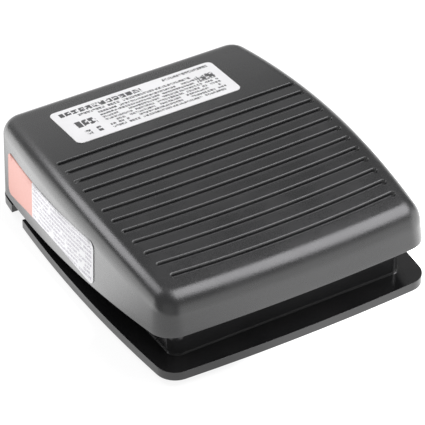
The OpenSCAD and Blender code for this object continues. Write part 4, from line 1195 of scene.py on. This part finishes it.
def layStrip(u, v, out):
    # u runs along the wall and v up it, before the strip's turn about its middle
    s, p = stripSizes, pedalShape
    cy, cz = (s["y0"] + s["y1"]) / 2, s["z0"] + s["high"] / 2
    a = radians(s["turn"])
    y = cy + (u - cy) * cos(a) - (v - cz) * sin(a)
    z = cz + (u - cy) * sin(a) + (v - cz) * cos(a)
    rs = bowRadius(p["bowReach"], p["sideBow"])
    c = sqrt(rs * rs - (y - p["mid"]) ** 2)
    nx, ny = -c / rs, (y - p["mid"]) / rs
    push = s["lift"] + out - tan(radians(p["lean"])) * (z - p["skirt"])
    return (-(p["half"] - rs + c) + push * nx, y + push * ny, z)


filmSkin = {"peel": 260.0, "grain": 3200.0, "grainShare": 0.3}


def makeFilm(name, values):
    # coated paper or film with rows of plain dashes; a map turns the rows' frame level
    material, tree, shader, skin, paper = startCoat(name, {**filmSkin, **values}, IOR=1.45)
    level = nodeOut(tree, "ShaderNodeMapping", {"Vector": objectPlace(tree), "Rotation": values["turn"],
                    "Scale": (1 / mm, 1 / mm, 1 / mm)})
    axes = splitXYZ(tree, level)
    across, down = axes[values["across"]], axes[values["down"]]
    total = None
    for start, end, pitch, inkHeight, dash, fill, left, right in values["blocks"]:
        ink = useGroup(tree, printRows, across=across, down=(down - start) / pitch, inkHeight=inkHeight,
                       dash=dash, fill=fill)["Ink"]
        for value, low, high in ((down, start, end), (across, left, right)):
            ink = ink * ((value > low) * (value < high))
        total = ink if total is None else calc("MAXIMUM", total, ink)
    inked = blendColour(total * values["inkLevel"], paper, values["ink"])
    if "blockColour" in values:
        inked = blendColour(across > values["blockFrom"], inked, values["blockColour"])
    endCoat(tree, shader, inked, skin["Grain"] * 0.08 + 0.36, skin["Height"], 0.006 * mm)
    return material


plateFilm = makeFilm("plateFilm", {
    "turn": (radians(pedalShape["restTilt"]), 0, 0), "across": 0, "down": 1,
    "dark": (0.74, 0.74, 0.74, 1), "light": (0.79, 0.79, 0.79, 1), "ink": (0.015, 0.015, 0.017, 1),
    "inkLevel": 0.92,
    # start, end, pitch of the rows, share of ink, dash, filled share, left, right
    "blocks": [
        (38.2, 41.1, 2.9, 0.82, 2.5, 1.0, -29.5, 0.5), (39.6, 41.6, 2.0, 0.7, 1.1, 1.0, 9, 26),
        (36.1, 38.0, 1.9, 0.66, 1.1, 0.95, -24, 17.5), (23.8, 35.9, 1.72, 0.62, 1.0, 0.93, -18, 25),
        (29.7, 33.8, 4.1, 0.9, 2.3, 1.0, -28, -20.5), (24.6, 27.8, 1.6, 0.8, 1.9, 0.9, -27, -21),
        (33.2, 36.8, 3.6, 0.84, 3.2, 1.0, 18.5, 25.4),
    ]})
stripFilm = makeFilm("stripFilm", {
    "turn": (radians(pedalShape["restTilt"] - stripSizes["turn"]), 0, 0), "across": 1, "down": 2,
    "dark": (0.48, 0.48, 0.49, 1), "light": (0.52, 0.52, 0.53, 1), "ink": (0.15, 0.13, 0.18, 1),
    "inkLevel": 0.75, "blockFrom": 24.9, "blockColour": (0.445, 0.2, 0.165, 1),
    "blocks": [(14.4, 27.6, 1.55, 0.62, 1.0, 0.96, -16, 24.4)]})


def makeLabels():
    p, s = plateSizes, stripSizes
    plateSides = (p["x0"], p["x1"], p["y0"], p["y1"])
    stripSides = (s["y0"], s["y1"], s["z0"], s["z0"] + s["high"])
    for name, sides, sizes, lay, film, node in (
            ("ratingPlate", plateSides, p, layPlate, plateFilm, "rating_plate"),
            ("sideStrip", stripSides, s, layStrip, stripFilm, "side_label")):
        sheet = sheetPart(roundedRect(*sides, sizes["corner"]), sizes["net"], lay, sizes["thick"])
        label = closeUp(joinParts(name, [placed(sheet, atRest())]), 40)
        dress(label, film, "pedal", node)


makeLabels()
print("labels made")

# floor and light

studio = {
    # floorGlow, floorPatches and leftPatch are painted light: the floor glows though it is no lamp, brighter
    # in patches, and hides contact shadows
    "floor": 8.0, "floorColour": 0.2, "floorGlow": 0.87, "ambient": 0.27,
    # soft patches of light, seen from the object: azimuth from +X, elevation, half width, strength
    "floorPatches": [(-58, 0, 42, 0.6), (-12, 0, 30, 1.1)],
    "leftPatch": (148, 0, 40, 1.9), "leftFrom": -0.051, "leftFull": -0.059,
    "skyPatches": [(-60, 8, 25, 1.2), (148, 3, 22, 2.3), (-18, 5, 22, 1.9), (82, 18, 24, 0.6),
                   (-128, 22, 26, 0.3)],
    "softboxes": [
        {"name": "overheadSoftbox", "azimuth": -14, "elevation": 58, "away": 1.3, "size": 1.0,
         "glow": 4.5},
        {"name": "backSoftbox", "azimuth": 117, "elevation": 52, "away": 1.3, "size": 0.78, "glow": 4.0},
    ],
}


def headingVector(azimuth, elevation):
    a, e = radians(azimuth), radians(elevation)
    return Vector((cos(a) * cos(e), sin(a) * cos(e), sin(e)))


def addPatches(tree, heading, start, patches):
    # adds smooth round patches of light to the start value, by the angle between two headings
    total = start
    for azimuth, elevation, spread, strength in patches:
        towards = dotProduct(tree, heading, headingVector(azimuth, elevation))
        outer, inner = cos(radians(spread * 1.4)), cos(radians(spread * 0.5))
        total = ramp(towards, outer, inner, 0.0, strength) + total
    return total


def makeFloor(values):
    # the floor's emission is painted light: a glow over a dull grey floor, brighter in patches round the
    # object and on its left side, that stands in for lit floor and hides contact shadows
    half = values["floor"] / 2 / mm
    corners = [(-half, -half, 0), (half, -half, 0), (half, half, 0), (-half, half, 0)]
    floor = objectFrom("floor", corners, [(0, 1, 2, 3)])
    material, tree, shader = newFinish("floorPaintedGlow", Roughness=0.9, Specular_IOR_Level=0.1,
                                       Base_Color=(values["floorColour"],) * 3 + (1,),
                                       Emission_Color=(1, 1, 1, 1))
    place = objectPlace(tree)
    heading = nodeOut(tree, "ShaderNodeVectorMath", {0: place}, "Vector", operation="NORMALIZE")
    glow = addPatches(tree, heading, values["floorGlow"], values["floorPatches"])
    leftGlow = addPatches(tree, heading, 0.0, [values["leftPatch"]])
    side = ramp(splitXYZ(tree, place)[0], values["leftFrom"], values["leftFull"])
    plug(shader.inputs["Emission Strength"], glow + leftGlow * side)
    floor.data.materials.append(material)


def makeWorld(values):
    world = bpy.data.worlds.new("studioSweep")
    scene.world = world
    world.use_nodes = True
    tree = world.node_tree
    heading = nodeOut(tree, "ShaderNodeTexCoord", out="Generated")
    background = tree.nodes["Background"].inputs
    plug(background["Color"], (1, 1, 1, 1))
    plug(background["Strength"], addPatches(tree, heading, values["ambient"], values["skyPatches"]))


def makeSoftbox(values):
    lamp = bpy.data.lights.new(values["name"], "AREA")
    lamp.shape = "DISK"
    lamp.size = values["size"]
    lamp.color = (0.98, 0.97, 1.0)
    lamp.energy = values["glow"] * pi * (pi * values["size"] ** 2 / 4)  # glow times pi times area
    place = headingVector(values["azimuth"], values["elevation"]) * values["away"]
    aim(putObject(values["name"], lamp), place, -place)


makeFloor(studio)
makeWorld(studio)
for softbox in studio["softboxes"]:
    makeSoftbox(softbox)
scene.view_settings.view_transform = "Standard"
print("floor and light set")
